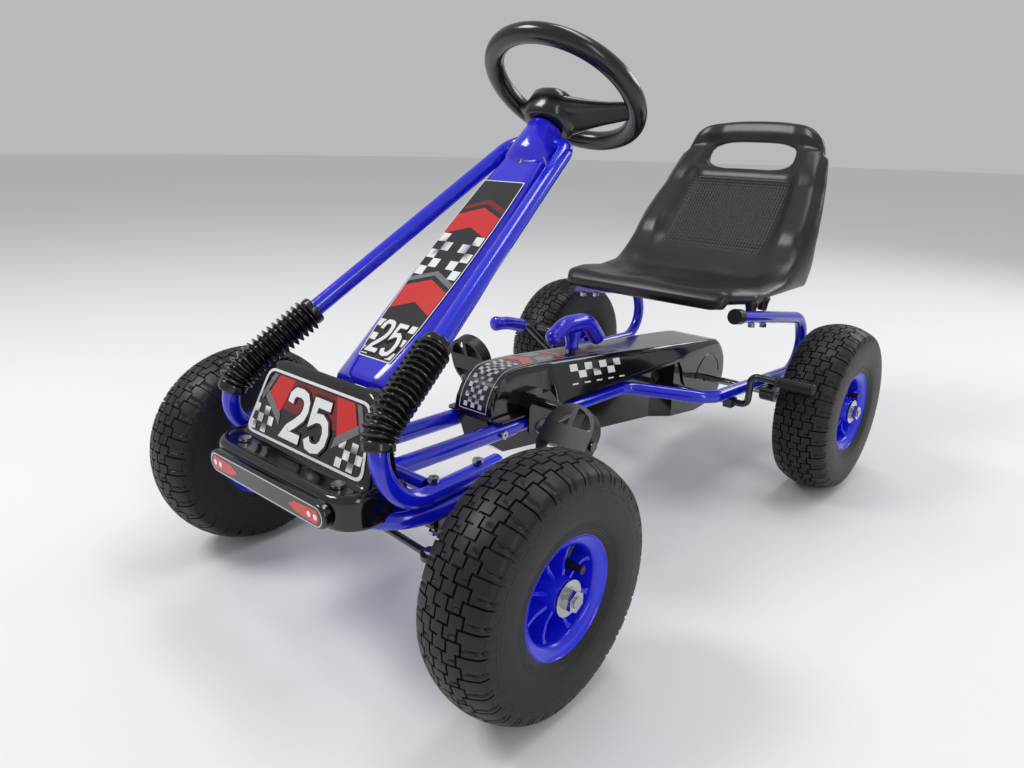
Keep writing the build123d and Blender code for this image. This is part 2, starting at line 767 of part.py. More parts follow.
# ---------------------------------------------------------------- rails behind the crank
rear_bore = rear_tube_radius - rear_tube_wall
for label, side in sides.items():
    with BuildPart() as tube:
        add(swept_rod(rear_tube_points(side), rear_tube_bends, rear_tube_radius, rear_bore))
        bolt_z = rail_z(joint_bolt_y)
        add(rod_between((side * (rail_x - 20), joint_bolt_y, bolt_z),
                        (side * (rail_x + 20), joint_bolt_y, bolt_z), bolt_hole_radius),
            mode=Mode.SUBTRACT)
        for y in seat_bolt_y:
            middle = seat_rail_point(side, y)
            add(rod_between((middle[0], middle[1], middle[2] - 20), (middle[0], middle[1], middle[2] + 20),
                            bolt_hole_radius), mode=Mode.SUBTRACT)
    save(tube, f"rear_tube_{label}")

# ---------------------------------------------------------------- rear axle
rear_axle_end = rear_track / 2 + axle_overhang
with BuildPart() as axle:
    add(rod_between(rear(-rear_axle_end, 0, axle_z), rear(rear_axle_end, 0, axle_z), axle_radius))
    for side in sides.values():
        pin_x = side * (rear_track / 2 - hub_half_length + 2.5)
        add(rod_between(rear(pin_x, 0, axle_z - 20), rear(pin_x, 0, axle_z + 20),
                        drive_pin_radius + seated_gap), mode=Mode.SUBTRACT)
save(axle, "rear_axle")

with BuildPart() as housings:
    for side in sides.values():
        with BuildSketch(x_plane(side * (housing_x - housing_length / 2), rear_axle_y, axle_z, side)):
            Circle(housing_radius)
            with Locations((0, side * (housing_radius - 4))):
                Rectangle(44, 5)
            Circle(axle_bush_radius + seated_gap, mode=Mode.SUBTRACT)
        extrude(amount=housing_length)
save(housings, "axle_housings")

# ---------------------------------------------------------------- crank, pedals and sprockets
crank_pos_y = front_axle_y + crank_y


def crank_route(side):
    return (side * crank_arm_x, crank_pos_y - side * crank_length, crank_z)


with BuildPart() as crank:
    left = crank_route(1)
    right = crank_route(-1)
    add(swept_rod(
        [(crank_end_x, left[1], crank_z), left, (crank_arm_x - 4, crank_pos_y, crank_z),
         (4 - crank_arm_x, crank_pos_y, crank_z), right, (-crank_end_x, right[1], crank_z)],
        crank_bend_radius, crank_rod_radius))
save(crank, "crank")

pedal_start = crank_arm_x + crank_bend_radius + 2
pedal_middle = (pedal_start + crank_end_x - 3) / 2
pedal_span = crank_end_x - 3 - pedal_start
for label, side in sides.items():
    turn = radians(pedal_tilt[label])
    tread = Plane((side * pedal_middle, crank_pos_y - side * crank_length, crank_z),
                  x_dir=(1, 0, 0), z_dir=(0, -sin(turn), cos(turn)))
    with BuildPart(tread) as pedal:
        with BuildSketch(tread.offset(-pedal_height / 2)):
            RectangleRounded(pedal_span, pedal_length, pedal_span / 2 - 2)
        extrude(amount=pedal_height)
        with BuildSketch(tread.offset(-pedal_height / 2)):
            RectangleRounded(pedal_span - 2 * pedal_edge, pedal_length - 2 * pedal_edge,
                             pedal_span / 2 - 2 - pedal_edge)
            Rectangle(pedal_spine, pedal_length, mode=Mode.SUBTRACT)
            Rectangle(pedal_span, pedal_band, mode=Mode.SUBTRACT)
        extrude(amount=pedal_height, mode=Mode.SUBTRACT)
        Cylinder(crank_rod_radius + running_gap, 2 * pedal_span, rotation=(0, 90, 0), mode=Mode.SUBTRACT)
    save(pedal, f"pedal_{label}")


def pitch_radius(teeth):
    return chain_pitch / (2 * sin(pi / teeth))


def make_sprocket(name, teeth, y, z, shaft_radius, start_angle):
    """A toothed disc whose gaps fit the chain's rollers, on a plain hub."""
    pitch = pitch_radius(teeth)
    with BuildPart(x_plane(chain_x, y, z)) as sprocket:
        Cylinder(pitch + 2.4, sprocket_thickness)
        with PolarLocations(pitch, teeth, start_angle=start_angle):
            Cylinder(roller_radius + 0.2, sprocket_thickness, mode=Mode.SUBTRACT)
        with PolarLocations(pitch + 4.2, teeth, start_angle=start_angle):
            Cylinder(roller_radius + 0.9, sprocket_thickness, mode=Mode.SUBTRACT)
        Cylinder(sprocket_hub_radius, sprocket_hub_width)
        with PolarLocations(pitch * 0.6, 6, start_angle=start_angle):
            Cylinder(pitch * 0.16, sprocket_thickness, mode=Mode.SUBTRACT)
        Cylinder(shaft_radius + seated_gap, sprocket_hub_width, mode=Mode.SUBTRACT)
    save(sprocket, name)


# The chain runs over both sprockets. Angles are counted from +Y towards +Z.
front_pitch = pitch_radius(front_teeth)
rear_pitch = pitch_radius(rear_teeth)
chain_run_y = rear_axle_y - crank_pos_y
chain_run_z = axle_z - crank_z
chain_centres = hypot(chain_run_y, chain_run_z)
centre_angle = degrees(atan2(chain_run_z, chain_run_y))
open_angle = degrees(asin((front_pitch - rear_pitch) / chain_centres))
front_step = 360 / front_teeth
rear_step = 360 / rear_teeth
front_arc_steps = int((180 + 2 * open_angle) / front_step)
rear_arc_steps = int((180 - 2 * open_angle) / rear_step)
front_first = centre_angle + 180 - front_arc_steps * front_step / 2
rear_first = centre_angle - rear_arc_steps * rear_step / 2


def on_pitch(y, z, radius, angle):
    return (y + radius * cos(radians(angle)), z + radius * sin(radians(angle)))


front_pins = [on_pitch(crank_pos_y, crank_z, front_pitch, front_first + step * front_step)
              for step in range(front_arc_steps + 1)]
rear_pins = [on_pitch(rear_axle_y, axle_z, rear_pitch, rear_first + step * rear_step)
             for step in range(rear_arc_steps + 1)]


def span_pins(start, end):
    """Rollers between two roller places, evenly spaced at about one pitch."""
    count = round(hypot(end[0] - start[0], end[1] - start[1]) / chain_pitch)
    return [(start[0] + (end[0] - start[0]) * step / count, start[1] + (end[1] - start[1]) * step / count)
            for step in range(1, count)]


chain_pins = front_pins + span_pins(front_pins[-1], rear_pins[0])
chain_pins = chain_pins + rear_pins + span_pins(rear_pins[-1], front_pins[0])

with BuildPart() as chain:
    for start in (chain_x - chain_half_width, chain_x + chain_half_width - chain_plate):
        with BuildSketch(x_plane(start, 0, 0)):
            with BuildLine():
                Polyline(*chain_pins, close=True)
            trace(line_width=7.0)
        extrude(amount=chain_plate)
    with BuildSketch(x_plane(chain_x - chain_half_width, 0, 0)):
        with Locations(*chain_pins):
            Circle(roller_radius - 0.8)
    extrude(amount=2 * chain_half_width)
save(chain, "chain")

make_sprocket("crank_sprocket", front_teeth, crank_pos_y, crank_z, crank_rod_radius, front_first)
make_sprocket("rear_sprocket", rear_teeth, rear_axle_y, axle_z, axle_radius, rear_first)

# ---------------------------------------------------------------- crank brackets
saddle_outer_x = rail_x + rear_tube_radius + 4.5
saddle_inner_x = saddle_outer_x - saddle_width
saddle_bottom = rail_z(crank_pos_y) - 8
with BuildPart() as saddles:
    for side in sides.values():
        with BuildSketch(x_plane(side * saddle_inner_x, crank_pos_y, 0, side)):
            with BuildLine():
                half = saddle_length / 2
                top = side * (crank_z + saddle_top)
                low = side * saddle_bottom
                neck = side * crank_z
                Polyline((-half, low), (-half, neck), (-half / 2, top), (half / 2, top),
                         (half, neck), (half, low), close=True)
            make_face()
            with Locations((0, neck)):
                Circle(crank_rod_radius + running_gap, mode=Mode.SUBTRACT)
        extrude(amount=saddle_width)
        channel_top = rail_z(crank_pos_y) + rear_tube_radius + 1.5
        with BuildSketch(Plane((side * (saddle_outer_x - 3 - saddle_width / 2 - 4), crank_pos_y, 0))):
            Rectangle(saddle_width + 8, saddle_length + 2)
        extrude(amount=channel_top, mode=Mode.SUBTRACT)
save(saddles, "crank_brackets")

# ---------------------------------------------------------------- chain case
case_front = front_axle_y + case_front_y
split_front_z = rail_z(case_front) + rail_outer_radius + 2
split_rear_y = rear_axle_y - 95
split_rear_z = 178.5
top_slope = 0.105


def case_outline():
    """Side view of the whole case, drawn on the YZ plane."""
    top_front = (case_front + 54, case_top_z)
    top_rear_y = rear_axle_y - 22
    top_rear = (top_rear_y, case_top_z - top_slope * (top_rear_y - top_front[0]))
    with BuildSketch() as outline:
        with BuildLine():
            Polyline((case_front + 12, 150), (case_front, split_front_z - 2), (case_front + 2, 215))
            ThreePointArc((case_front + 2, 215), (case_front + 16, 238), top_front)
            Line(top_front, top_rear)
            Line(top_rear, (rear_axle_y + 30, axle_z + 62))
            ThreePointArc((rear_axle_y + 30, axle_z + 62), (rear_axle_y + case_drum_radius, axle_z + 6),
                          (rear_axle_y + 34, axle_z - 50))
            Polyline((rear_axle_y + 34, axle_z - 50), (rear_axle_y - 30, axle_z - 54),
                     (case_front + 30, 137), (case_front + 12, 150))
        make_face()
    return outline.sketch_local


def case_split():
    """The region above the line where the two case halves meet."""
    with BuildSketch() as region:
        with BuildLine():
            Polyline((case_front - 20, split_front_z), (split_rear_y, split_rear_z),
                     (rear_axle_y - 72, axle_z), (rear_axle_y + 90, axle_z),
                     (rear_axle_y + 90, 400), (case_front - 20, 400), close=True)
        make_face()
    return region.sketch_local


def case_body(inset):
    """The case's solid, inset by a wall thickness on every side."""
    with BuildPart() as body:
        with BuildSketch(Plane.YZ):
            add(case_outline())
            if inset > 0:
                offset(amount=-inset, kind=Kind.INTERSECTION, mode=Mode.REPLACE)
        extrude(amount=60, both=True)
    return body.part


def upper_prism(inset):
    """Cross-section of the upper half: sides that lean in towards the top."""
    with BuildPart() as prism:
        with BuildSketch(Plane.XZ.offset(-rear_axle_y - 100)):
            with BuildLine():
                low = split_rear_z - 60
                base = case_flange_half - inset
                top = case_top_half - inset
                Polyline((-base, low), (-base, split_front_z), (-top, case_top_z + 1),
                         (top, case_top_z + 1), (base, split_front_z), (base, low), close=True)
            make_face()
        extrude(amount=wheelbase + 300)
    return prism.part


def lower_prism(inset):
    """Plan of the lower half: narrow between the rails, wide around the rear sprocket."""
    narrow = rail_x - rail_outer_radius - moving_gap - inset
    wide = case_drum_half - inset
    with BuildPart() as prism:
        with BuildSketch(Plane.XY):
            with BuildLine():
                Polyline((-narrow, case_front - 20), (narrow, case_front - 20),
                         (narrow, rear_axle_y - 150), (wide, rear_axle_y - 110),
                         (wide, rear_axle_y + 90), (-wide, rear_axle_y + 90),
                         (-wide, rear_axle_y - 110), (-narrow, rear_axle_y - 150), close=True)
            make_face()
        extrude(amount=300)
    return prism.part


def crank_recess(grow):
    """Room beside the case for the crank brackets."""
    with BuildPart() as room:
        for side in sides.values():
            near = saddle_inner_x - moving_gap - grow
            far = 80
            with BuildSketch(Plane((side * (near + far) / 2, crank_pos_y, 100))):
                Rectangle(far - near, saddle_length + 2 * (moving_gap + grow))
            extrude(amount=crank_z + saddle_top + moving_gap + grow - 100)
    return room.part


def upper_solid(inset):
    with BuildPart() as solid:
        add(case_body(inset))
        add(upper_prism(inset), mode=Mode.INTERSECT)
        add(crank_recess(inset), mode=Mode.SUBTRACT)
    return solid.part


def lower_solid(inset):
    with BuildPart() as solid:
        add(case_body(inset))
        add(lower_prism(inset), mode=Mode.INTERSECT)
    return solid.part


with BuildPart() as split:
    with BuildSketch(Plane.YZ):
        add(case_split())
    extrude(amount=80, both=True)

with BuildPart() as case_top:
    add(upper_solid(0))
    add(upper_solid(cover_wall), mode=Mode.SUBTRACT)
    add(split.part, mode=Mode.INTERSECT)
    shift_pos_y = front_axle_y + shift_y
    shift_top_z = case_top_z - top_slope * (shift_pos_y - case_front - 54)
    shift_pivot_z = shift_top_z - shift_pivot_drop
    for side in sides.values():
        with BuildSketch(x_plane(side * shift_ear_x, shift_pos_y, 0, side)):
            with Locations((0, side * (shift_pivot_z + shift_top_z - 8) / 2)):
                Rectangle(16, shift_pivot_drop + 4)
        extrude(amount=2.5)
    add(rod_between((-20, shift_pos_y, shift_pivot_z), (20, shift_pos_y, shift_pivot_z),
                    shift_pin_radius + running_gap), mode=Mode.SUBTRACT)
    with BuildSketch(Plane((0, shift_pos_y, shift_top_z - 20))):
        RectangleRounded(15, 48, 6)
    extrude(amount=40, mode=Mode.SUBTRACT)
    add(rod_between((-60, rear_axle_y, axle_z), (60, rear_axle_y, axle_z), axle_radius + 2),
        mode=Mode.SUBTRACT)
    add(rod_between((-60, crank_pos_y, crank_z), (60, crank_pos_y, crank_z), crank_rod_radius + 2),
        mode=Mode.SUBTRACT)
    with BuildSketch(Plane((0, crank_pos_y, crank_z - 40))):
        Rectangle(120, 2 * crank_rod_radius + 4)
    extrude(amount=40, mode=Mode.SUBTRACT)
save(case_top, "case_top")

with BuildPart() as case_bottom:
    add(lower_solid(0))
    add(lower_solid(cover_wall), mode=Mode.SUBTRACT)
    add(split.part.moved(Location((0, 0, -0.1))), mode=Mode.SUBTRACT)
    add(rod_between((-60, rear_axle_y, axle_z), (60, rear_axle_y, axle_z), axle_radius + 2),
        mode=Mode.SUBTRACT)
    add(rod_between(rear(-60, brake_y, brake_z), rear(60, brake_y, brake_z), brake_rod_radius + 2),
        mode=Mode.SUBTRACT)
save(case_bottom, "case_bottom")

# ---------------------------------------------------------------- shift lever
grip_start_z = shift_top_z + 30
with BuildPart() as shift_lever:
    add(rod_between((0, shift_pos_y, shift_pivot_z - 8), (0, shift_pos_y, grip_start_z), shift_stem_radius))
    pin_half = shift_ear_x + 2.5
    boss_half = shift_ear_x - face_gap
    add(rod_between((-pin_half, shift_pos_y, shift_pivot_z), (pin_half, shift_pos_y, shift_pivot_z),
                    shift_pin_radius))
    add(rod_between((-boss_half, shift_pos_y, shift_pivot_z), (boss_half, shift_pos_y, shift_pivot_z),
                    shift_pin_radius + 3))
save(shift_lever, "shift_lever")

with BuildPart() as shift_grip:
    add(swept_rod([(0, shift_pos_y - 46, shift_top_z + 32), (0, shift_pos_y - 14, shift_top_z + 41),
                   (0, shift_pos_y + 30, shift_top_z + 38), (0, shift_pos_y + 66, shift_top_z + 6)],
                  [20, 24], 11.0))
    add(rod_between((0, shift_pos_y, shift_top_z + 8), (0, shift_pos_y, shift_top_z + 34), 8))
    add(rod_between((0, shift_pos_y, shift_top_z), (0, shift_pos_y, grip_start_z),
                    shift_stem_radius + seated_gap), mode=Mode.SUBTRACT)
save(shift_grip, "shift_grip")

# ---------------------------------------------------------------- brake
turn_x = brake_sleeve_start - 37
lever_x = 9 - turn_x
grip_x = -190.0
lever_foot = (grip_x, -205.0, 214.0)
lever_end = (grip_x, -276.0, 232.0)
with BuildPart() as brake_rod:
    add(swept_rod([
        rear(brake_sleeve_end - 4, brake_sleeve_y, brake_sleeve_z),
        rear(turn_x, brake_sleeve_y, brake_sleeve_z),
        rear(turn_x - 3, brake_y, brake_z),
        rear(3 - turn_x, brake_y, brake_z),
        rear(-turn_x, brake_sleeve_y, brake_sleeve_z),
        rear(4 - brake_sleeve_end, brake_sleeve_y, brake_sleeve_z)], 11, brake_rod_radius))
    add(swept_rod([
        rear(lever_x, brake_y, brake_z), rear(lever_x, brake_y - 48, brake_z + 40),
        rear(*lever_foot), rear(*lever_end)], [20, 20], brake_rod_radius))
save(brake_rod, "brake_rod")

with BuildPart() as sleeves:
    for side in sides.values():
        with BuildSketch(x_plane(side * brake_sleeve_start, rear_axle_y + brake_sleeve_y,
                                 brake_sleeve_z, side)):
            Circle(brake_sleeve_radius)
        extrude(amount=brake_sleeve_end - brake_sleeve_start)
        with BuildSketch(x_plane(side * brake_sleeve_start, rear_axle_y + brake_sleeve_y,
                                 brake_sleeve_z, side)):
            Circle(brake_rod_radius + seated_gap)
        extrude(amount=brake_sleeve_end - brake_sleeve_start - 4 + seated_gap, mode=Mode.SUBTRACT)
save(sleeves, "brake_sleeves")

with BuildPart() as brake_grip:
    add(swept_rod([rear(grip_x, -222, 218.3), rear(grip_x, -262, 228.4), rear(grip_x, -290, 233)],
                  40, grip_radius))
    add(rod_between(rear(*lever_foot), rear(*lever_end), brake_rod_radius + seated_gap),
        mode=Mode.SUBTRACT)
save(brake_grip, "brake_grip")

clamp_x = 150.0
clamp_width = 14.0
clamp_length = 18.0
clamp_relief = 0.8
clamp_bottom = brake_z - 8
clamp_top = rail_at_brake_z - rear_tube_radius - clamp_relief
with BuildPart() as clamps:
    for side in sides.values():
        with BuildSketch(x_plane(side * clamp_x, rear_axle_y + brake_y, 0, side)):
            with Locations((0, side * (clamp_bottom + clamp_top) / 2)):
                Rectangle(clamp_length, clamp_top - clamp_bottom)
            with Locations((0, side * brake_z)):
                Circle(brake_rod_radius + running_gap, mode=Mode.SUBTRACT)
        extrude(amount=clamp_width)
save(clamps, "brake_clamps")

# ---------------------------------------------------------------- nose, bumper bar
plate_foot_y = -88.0
nose_front_y = -123.0
nose_back_y = -50.0


def nose_body(inset):
    """Ledge and leaning number panel; the back and the underside are open when inset."""
    back = nose_back_y + (20 if inset else 0)
    bottom = nose_bottom_z - (20 if inset else 0)
    with BuildPart() as body:
        with BuildSketch(Plane.YZ):
            with BuildLine():
                Polyline(
                    (front_axle_y + nose_front_y + inset, bottom),
                    (front_axle_y + nose_front_y + inset, nose_ledge_z - 4 - inset),
                    (front_axle_y + nose_front_y + 5 + inset, nose_ledge_z - inset),
                    (front_axle_y + plate_foot_y + inset, nose_ledge_z - inset),
                    (front_axle_y + plate_foot_y + 33 + inset, nose_top_z - inset),
                    (front_axle_y + back, nose_top_z - 6 - inset),
                    (front_axle_y + back, bottom), close=True)
            make_face()
        extrude(amount=160, both=True)
        with BuildSketch(Plane.XZ.offset(-front_axle_y)):
            with BuildLine():
                base = nose_base_half - inset
                shoulder = nose_base_half - 4 - inset
                top = nose_top_half - inset
                Polyline((-base, bottom), (-base, nose_ledge_z), (-shoulder, nose_ledge_z + 4),
                         (-top, nose_top_z - 12), (12 - top, nose_top_z - inset),
                         (top - 12, nose_top_z - inset), (top, nose_top_z - 12),
                         (shoulder, nose_ledge_z + 4), (base, nose_ledge_z), (base, bottom), close=True)
            make_face()
        extrude(amount=300, both=True, mode=Mode.INTERSECT)
        with BuildSketch(Plane.XY):
            with BuildLine():
                wide = nose_base_half - inset
                tip = 92 - inset / 2
                Polyline((-wide, front_axle_y + back), (-wide, front_axle_y + nose_front_y + 34),
                         (-tip, front_axle_y + nose_front_y + inset),
                         (tip, front_axle_y + nose_front_y + inset),
                         (wide, front_axle_y + nose_front_y + 34), (wide, front_axle_y + back), close=True)
            make_face()
        extrude(amount=400, mode=Mode.INTERSECT)
    return body.part


nose_screw_y = -100.0
nose_screw_x = 83.0
with BuildPart() as nose:
    add(nose_body(0))
    add(nose_body(cover_wall), mode=Mode.SUBTRACT)
    add(swept_rod(bumper_points, bumper_bend_radius, front_tube_radius + face_gap), mode=Mode.SUBTRACT)
    for side in sides.values():
        add(swept_rod(front_tube_points(side), front_tube_bends, bellows_radius + moving_gap),
            mode=Mode.SUBTRACT)
        add(rod_between(front(side * nose_screw_x, nose_screw_y, 190),
                        front(side * nose_screw_x, nose_screw_y, 230), bolt_hole_radius),
            mode=Mode.SUBTRACT)
save(nose, "nose")

bar_z = 191.0
bar_back_y = nose_front_y - seated_gap
with BuildPart() as bar:
    with BuildSketch(Plane(origin=front(0, bar_back_y, bar_z), x_dir=(1, 0, 0), z_dir=(0, -1, 0))):
        SlotOverall(2 * bar_half_length, bar_height)
    extrude(amount=bar_depth)
    fillet(bar.faces().sort_by(Axis.Y)[0].edges(), 3)
save(bar, "bumper_bar")

# ---------------------------------------------------------------- steering column cover
fairing_foot_half = (45.5, 62.0)
fairing_head_half = (17.0, 27.0)
fairing_foot_depth = 44.0
fairing_head_depth = 30.0
fairing_foot = Vector(*front(0, -10, 274))
fairing_head = Vector(*front(0, 247, 497))
fairing_run = (fairing_head - fairing_foot).normalized()
fairing_back = Vector(0, fairing_run.Z, -fairing_run.Y)


def fairing_section(point, front_half, back_half, depth):
    """A six-sided section, flat in front and open behind, square to the cover's run."""
    plane = Plane(origin=point, x_dir=(1, 0, 0), z_dir=tuple(fairing_run))
    with BuildSketch(plane) as section:
        with BuildLine():
            Polyline((-front_half, 0), (front_half, 0), (back_half, depth * 0.45),
                     (back_half, depth), (-back_half, depth), (-back_half, depth * 0.45), close=True)
        make_face()
    return section.sketch


def fairing_body(inset):
    """The cover's solid, or the hollow in it, which runs out behind and at both ends."""
    past = 10 if inset else 0
    deeper = 30 if inset else 0
    foot_point = fairing_foot + fairing_back * inset - fairing_run * past
    head_point = fairing_head + fairing_back * inset + fairing_run * past
    with BuildPart() as body:
        loft([fairing_section(foot_point, fairing_foot_half[0] - inset * 0.6, fairing_foot_half[1] - inset,
                              fairing_foot_depth + deeper),
              fairing_section(head_point, fairing_head_half[0] - inset * 0.6, fairing_head_half[1] - inset,
                              fairing_head_depth + deeper)], ruled=True)
    return body.part


with BuildPart() as fairing:
    add(fairing_body(0))
    add(fairing_body(cover_wall), mode=Mode.SUBTRACT)
    add(column_clearance(head_radius + moving_gap), mode=Mode.SUBTRACT)
    add(wing(head_z, 60, head_length), mode=Mode.SUBTRACT)
    for side in sides.values():
        add(swept_rod(front_tube_points(side), front_tube_bends, front_tube_radius + face_gap),
            mode=Mode.SUBTRACT)
save(fairing, "fairing")

collar_foot_radii = (30.0, 26.0)
collar_head_radii = (23.0, 22.0)
collar_base = column_at(head_z) + column_run * (head_length / 2 - 4)
collar_top = hub_base - column_run * moving_gap
with BuildPart() as collar:
    with BuildSketch(Plane(origin=collar_base, x_dir=(1, 0, 0), z_dir=column_run)):
        Ellipse(*collar_foot_radii)
    with BuildSketch(Plane(origin=collar_top, x_dir=(1, 0, 0), z_dir=column_run)):
        Ellipse(*collar_head_radii)
    loft()
    with BuildSketch(Plane(origin=collar_base, x_dir=(1, 0, 0), z_dir=column_run)):
        Ellipse(collar_foot_radii[0] - cover_wall, collar_foot_radii[1] - cover_wall)
    with BuildSketch(Plane(origin=collar_top - column_run * cover_wall, x_dir=(1, 0, 0), z_dir=column_run)):
        Ellipse(collar_head_radii[0] - cover_wall, collar_head_radii[1] - cover_wall)
    loft(mode=Mode.SUBTRACT)
    add(column_clearance(column_radius + moving_gap), mode=Mode.SUBTRACT)
    add(rod_between(tuple(column_at(head_z)), tuple(column_at(head_z) + column_run * (head_length / 2 + 1)),
                    head_radius + face_gap), mode=Mode.SUBTRACT)
    for side in sides.values():
        add(swept_rod(front_tube_points(side), front_tube_bends, front_tube_radius + face_gap),
            mode=Mode.SUBTRACT)
save(collar, "head_collar")

# ---------------------------------------------------------------- bellows over the front bends
for label, side in sides.items():
    corner = Vector(*front(side * strut_foot_x, strut_foot_y, leg_z))
    strut_way = (Vector(*front(side * strut_head[0], strut_head[1], strut_head[2])) - corner).normalized()
    leg_way = (Vector(*front(side * leg_x, leg_end_y, leg_z)) - corner).normalized()
    turn = 180 - strut_way.get_angle(leg_way)
    reach = leg_bend_radius * tan(radians(turn / 2))
    normal = strut_way.cross(leg_way)
    bend_plane = Plane(origin=corner, x_dir=tuple(strut_way), z_dir=tuple(normal))
    boot_run = 96.0
    boot_turn = 42.0
    with BuildPart() as boot:
        with BuildLine(bend_plane) as route:
            straight = Line((reach + boot_run, 0), (reach, 0))
            JernArc(start=straight @ 1, tangent=straight % 1, radius=leg_bend_radius, arc_size=-boot_turn)
        with BuildSketch(cross_plane(route.line @ 0, route.line % 0)):
            Circle(bellows_radius)
            Circle(front_tube_radius + seated_gap, mode=Mode.SUBTRACT)
        sweep(path=route.line)
    save(boot, f"bellows_{label}")

# ---------------------------------------------------------------- seat
seat_profile = [(-163, 300), (-150, 312), (-60, 300), (6, 306), (72, 352), (150, 440), (190, 505), (208, 554)]
handle_low_z = 470.0
handle_high_z = 520.0
handle_half = 76.0


def seat_shell():
    """The bent sheet of the seat, as wide as the kart's seat rails."""
    with BuildPart() as shell:
        with BuildSketch(Plane.YZ):
            with BuildLine():
                FilletPolyline(*[(rear_axle_y + y, z) for y, z in seat_profile],
                               radius=[6, 40, 60, 60, 80, 60])
            trace(line_width=seat_thickness)
        extrude(amount=200, both=True)
        with BuildSketch(Plane.XY):
            with BuildLine():
                Polyline((-seat_front_half, rear_axle_y - 200), (-seat_front_half, rear_axle_y - 140),
                         (-seat_half_width, rear_axle_y - 95), (-seat_half_width, rear_axle_y + 70),
                         (-seat_back_half - 36, rear_axle_y + 120), (-seat_back_half, rear_axle_y + 196),
                         (-seat_back_half + 30, rear_axle_y + 240), (seat_back_half - 30, rear_axle_y + 240),
                         (seat_back_half, rear_axle_y + 196), (seat_back_half + 36, rear_axle_y + 120),
                         (seat_half_width, rear_axle_y + 70), (seat_half_width, rear_axle_y - 95),
                         (seat_front_half, rear_axle_y - 140), (seat_front_half, rear_axle_y - 200),
                         close=True)
            make_face()
        extrude(amount=700, mode=Mode.INTERSECT)
        with BuildSketch(Plane.XZ):
            with Locations((0, (handle_low_z + handle_high_z) / 2)):
                RectangleRounded(2 * handle_half, handle_high_z - handle_low_z, 20)
        extrude(amount=-900, mode=Mode.SUBTRACT)
    return shell.part


with BuildPart() as seat:
    add(seat_shell())
    for side in sides.values():
        for y in seat_bolt_y:
            middle = seat_rail_point(side, y)
            boss_z = middle[2] + rear_tube_radius + 1.6
            with BuildSketch(Plane((middle[0] - side * 3, middle[1], boss_z))):
                Circle(7)
            extrude(amount=300 - boss_z)
            low = (middle[0], middle[1], boss_z - 5)
            add(rod_between(low, (middle[0], middle[1], 340), bolt_hole_radius), mode=Mode.SUBTRACT)
save(seat, "seat")

with BuildPart() as caps:
    for side in sides.values():
        end = Vector(*rear(side * seat_rail_end[0], seat_rail_end[1], seat_rail_end[2]))
        back = Vector(*seat_rail_point(side, seat_rail_end[1] + 20))
        way = (end - back).normalized()
        with BuildSketch(cross_plane(end - way * 14, way)):
            Circle(rear_tube_radius + 2)
            Circle(rear_tube_radius + seated_gap, mode=Mode.SUBTRACT)
        extrude(amount=14)
        with BuildSketch(cross_plane(end, way)):
            Circle(rear_tube_radius + 2)
        extrude(amount=3)
save(caps, "rail_caps")

# ---------------------------------------------------------------- fasteners
with BuildPart() as bolts:
    for side in sides.values():
        for y in leg_bolt_y:
            low = front(leg_bolt_x(side), y, axle_z + bracket_half_height - seated_gap)
            high = front(leg_bolt_x(side), y, leg_z + front_tube_radius + 1)
            add(rod_between(low, high, bolt_radius))
            add(hex_nut(high, (0, 0, 1), 10, 5, bolt_radius / 2))
            add(hex_nut(low, (0, 0, -1), 10, 4, bolt_radius / 2))
        bolt_z = rail_z(joint_bolt_y)
        inner = (side * (rail_x - rail_outer_radius - 0.5), joint_bolt_y, bolt_z)
        outer = (side * (rail_x + rail_outer_radius + 0.5), joint_bolt_y, bolt_z)
        add(rod_between(inner, outer, bolt_radius))
        add(hex_nut(outer, (side, 0, 0), 10, 4, bolt_radius / 2))
        for y in seat_bolt_y:
            middle = seat_rail_point(side, y)
            low = (middle[0], middle[1], middle[2] - rear_tube_radius - 1)
            high = (middle[0], middle[1], seat_bolt_top)
            add(rod_between(low, high, bolt_radius))
            add(hex_nut(low, (0, 0, -1), 10, 5, bolt_radius / 2))
        screw = front(side * nose_screw_x, nose_screw_y, nose_ledge_z + seated_gap)
        add(rod_between((screw[0], screw[1], screw[2] - 14), screw, bolt_radius))
        add(rod_between(screw, (screw[0], screw[1], screw[2] + 3), bolt_head_radius + 1))
save(bolts, "bolts")
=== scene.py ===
"""Pedal go kart: moulded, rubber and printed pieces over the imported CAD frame."""
import math

import bmesh
import bpy
import numpy as np
from mathutils import Matrix, Vector


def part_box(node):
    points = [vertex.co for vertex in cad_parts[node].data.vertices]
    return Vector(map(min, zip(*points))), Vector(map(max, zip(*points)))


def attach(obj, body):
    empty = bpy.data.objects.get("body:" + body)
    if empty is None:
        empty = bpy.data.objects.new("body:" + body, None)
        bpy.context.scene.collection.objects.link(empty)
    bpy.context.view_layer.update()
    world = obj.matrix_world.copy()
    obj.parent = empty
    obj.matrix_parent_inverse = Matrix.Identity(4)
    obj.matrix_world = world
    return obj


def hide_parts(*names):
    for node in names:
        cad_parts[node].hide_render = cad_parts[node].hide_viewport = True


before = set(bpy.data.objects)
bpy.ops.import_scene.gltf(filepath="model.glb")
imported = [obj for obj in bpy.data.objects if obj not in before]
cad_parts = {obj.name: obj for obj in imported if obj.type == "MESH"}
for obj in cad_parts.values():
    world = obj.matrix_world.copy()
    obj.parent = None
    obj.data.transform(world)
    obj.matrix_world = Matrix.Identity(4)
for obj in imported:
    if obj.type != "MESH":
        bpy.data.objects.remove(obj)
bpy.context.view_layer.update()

bl_info = {
    "name": "Pedal go kart",
    "version": (1, 0, 0),
    "blender": (4, 5, 0),
    "location": "View3D > Sidebar > Kart",
    "description": "Builds the kart's moulded, rubber and printed pieces on its CAD frame",
    "category": "Add Mesh",
}

MM = 0.001
SIDES = {"left": 1, "right": -1}


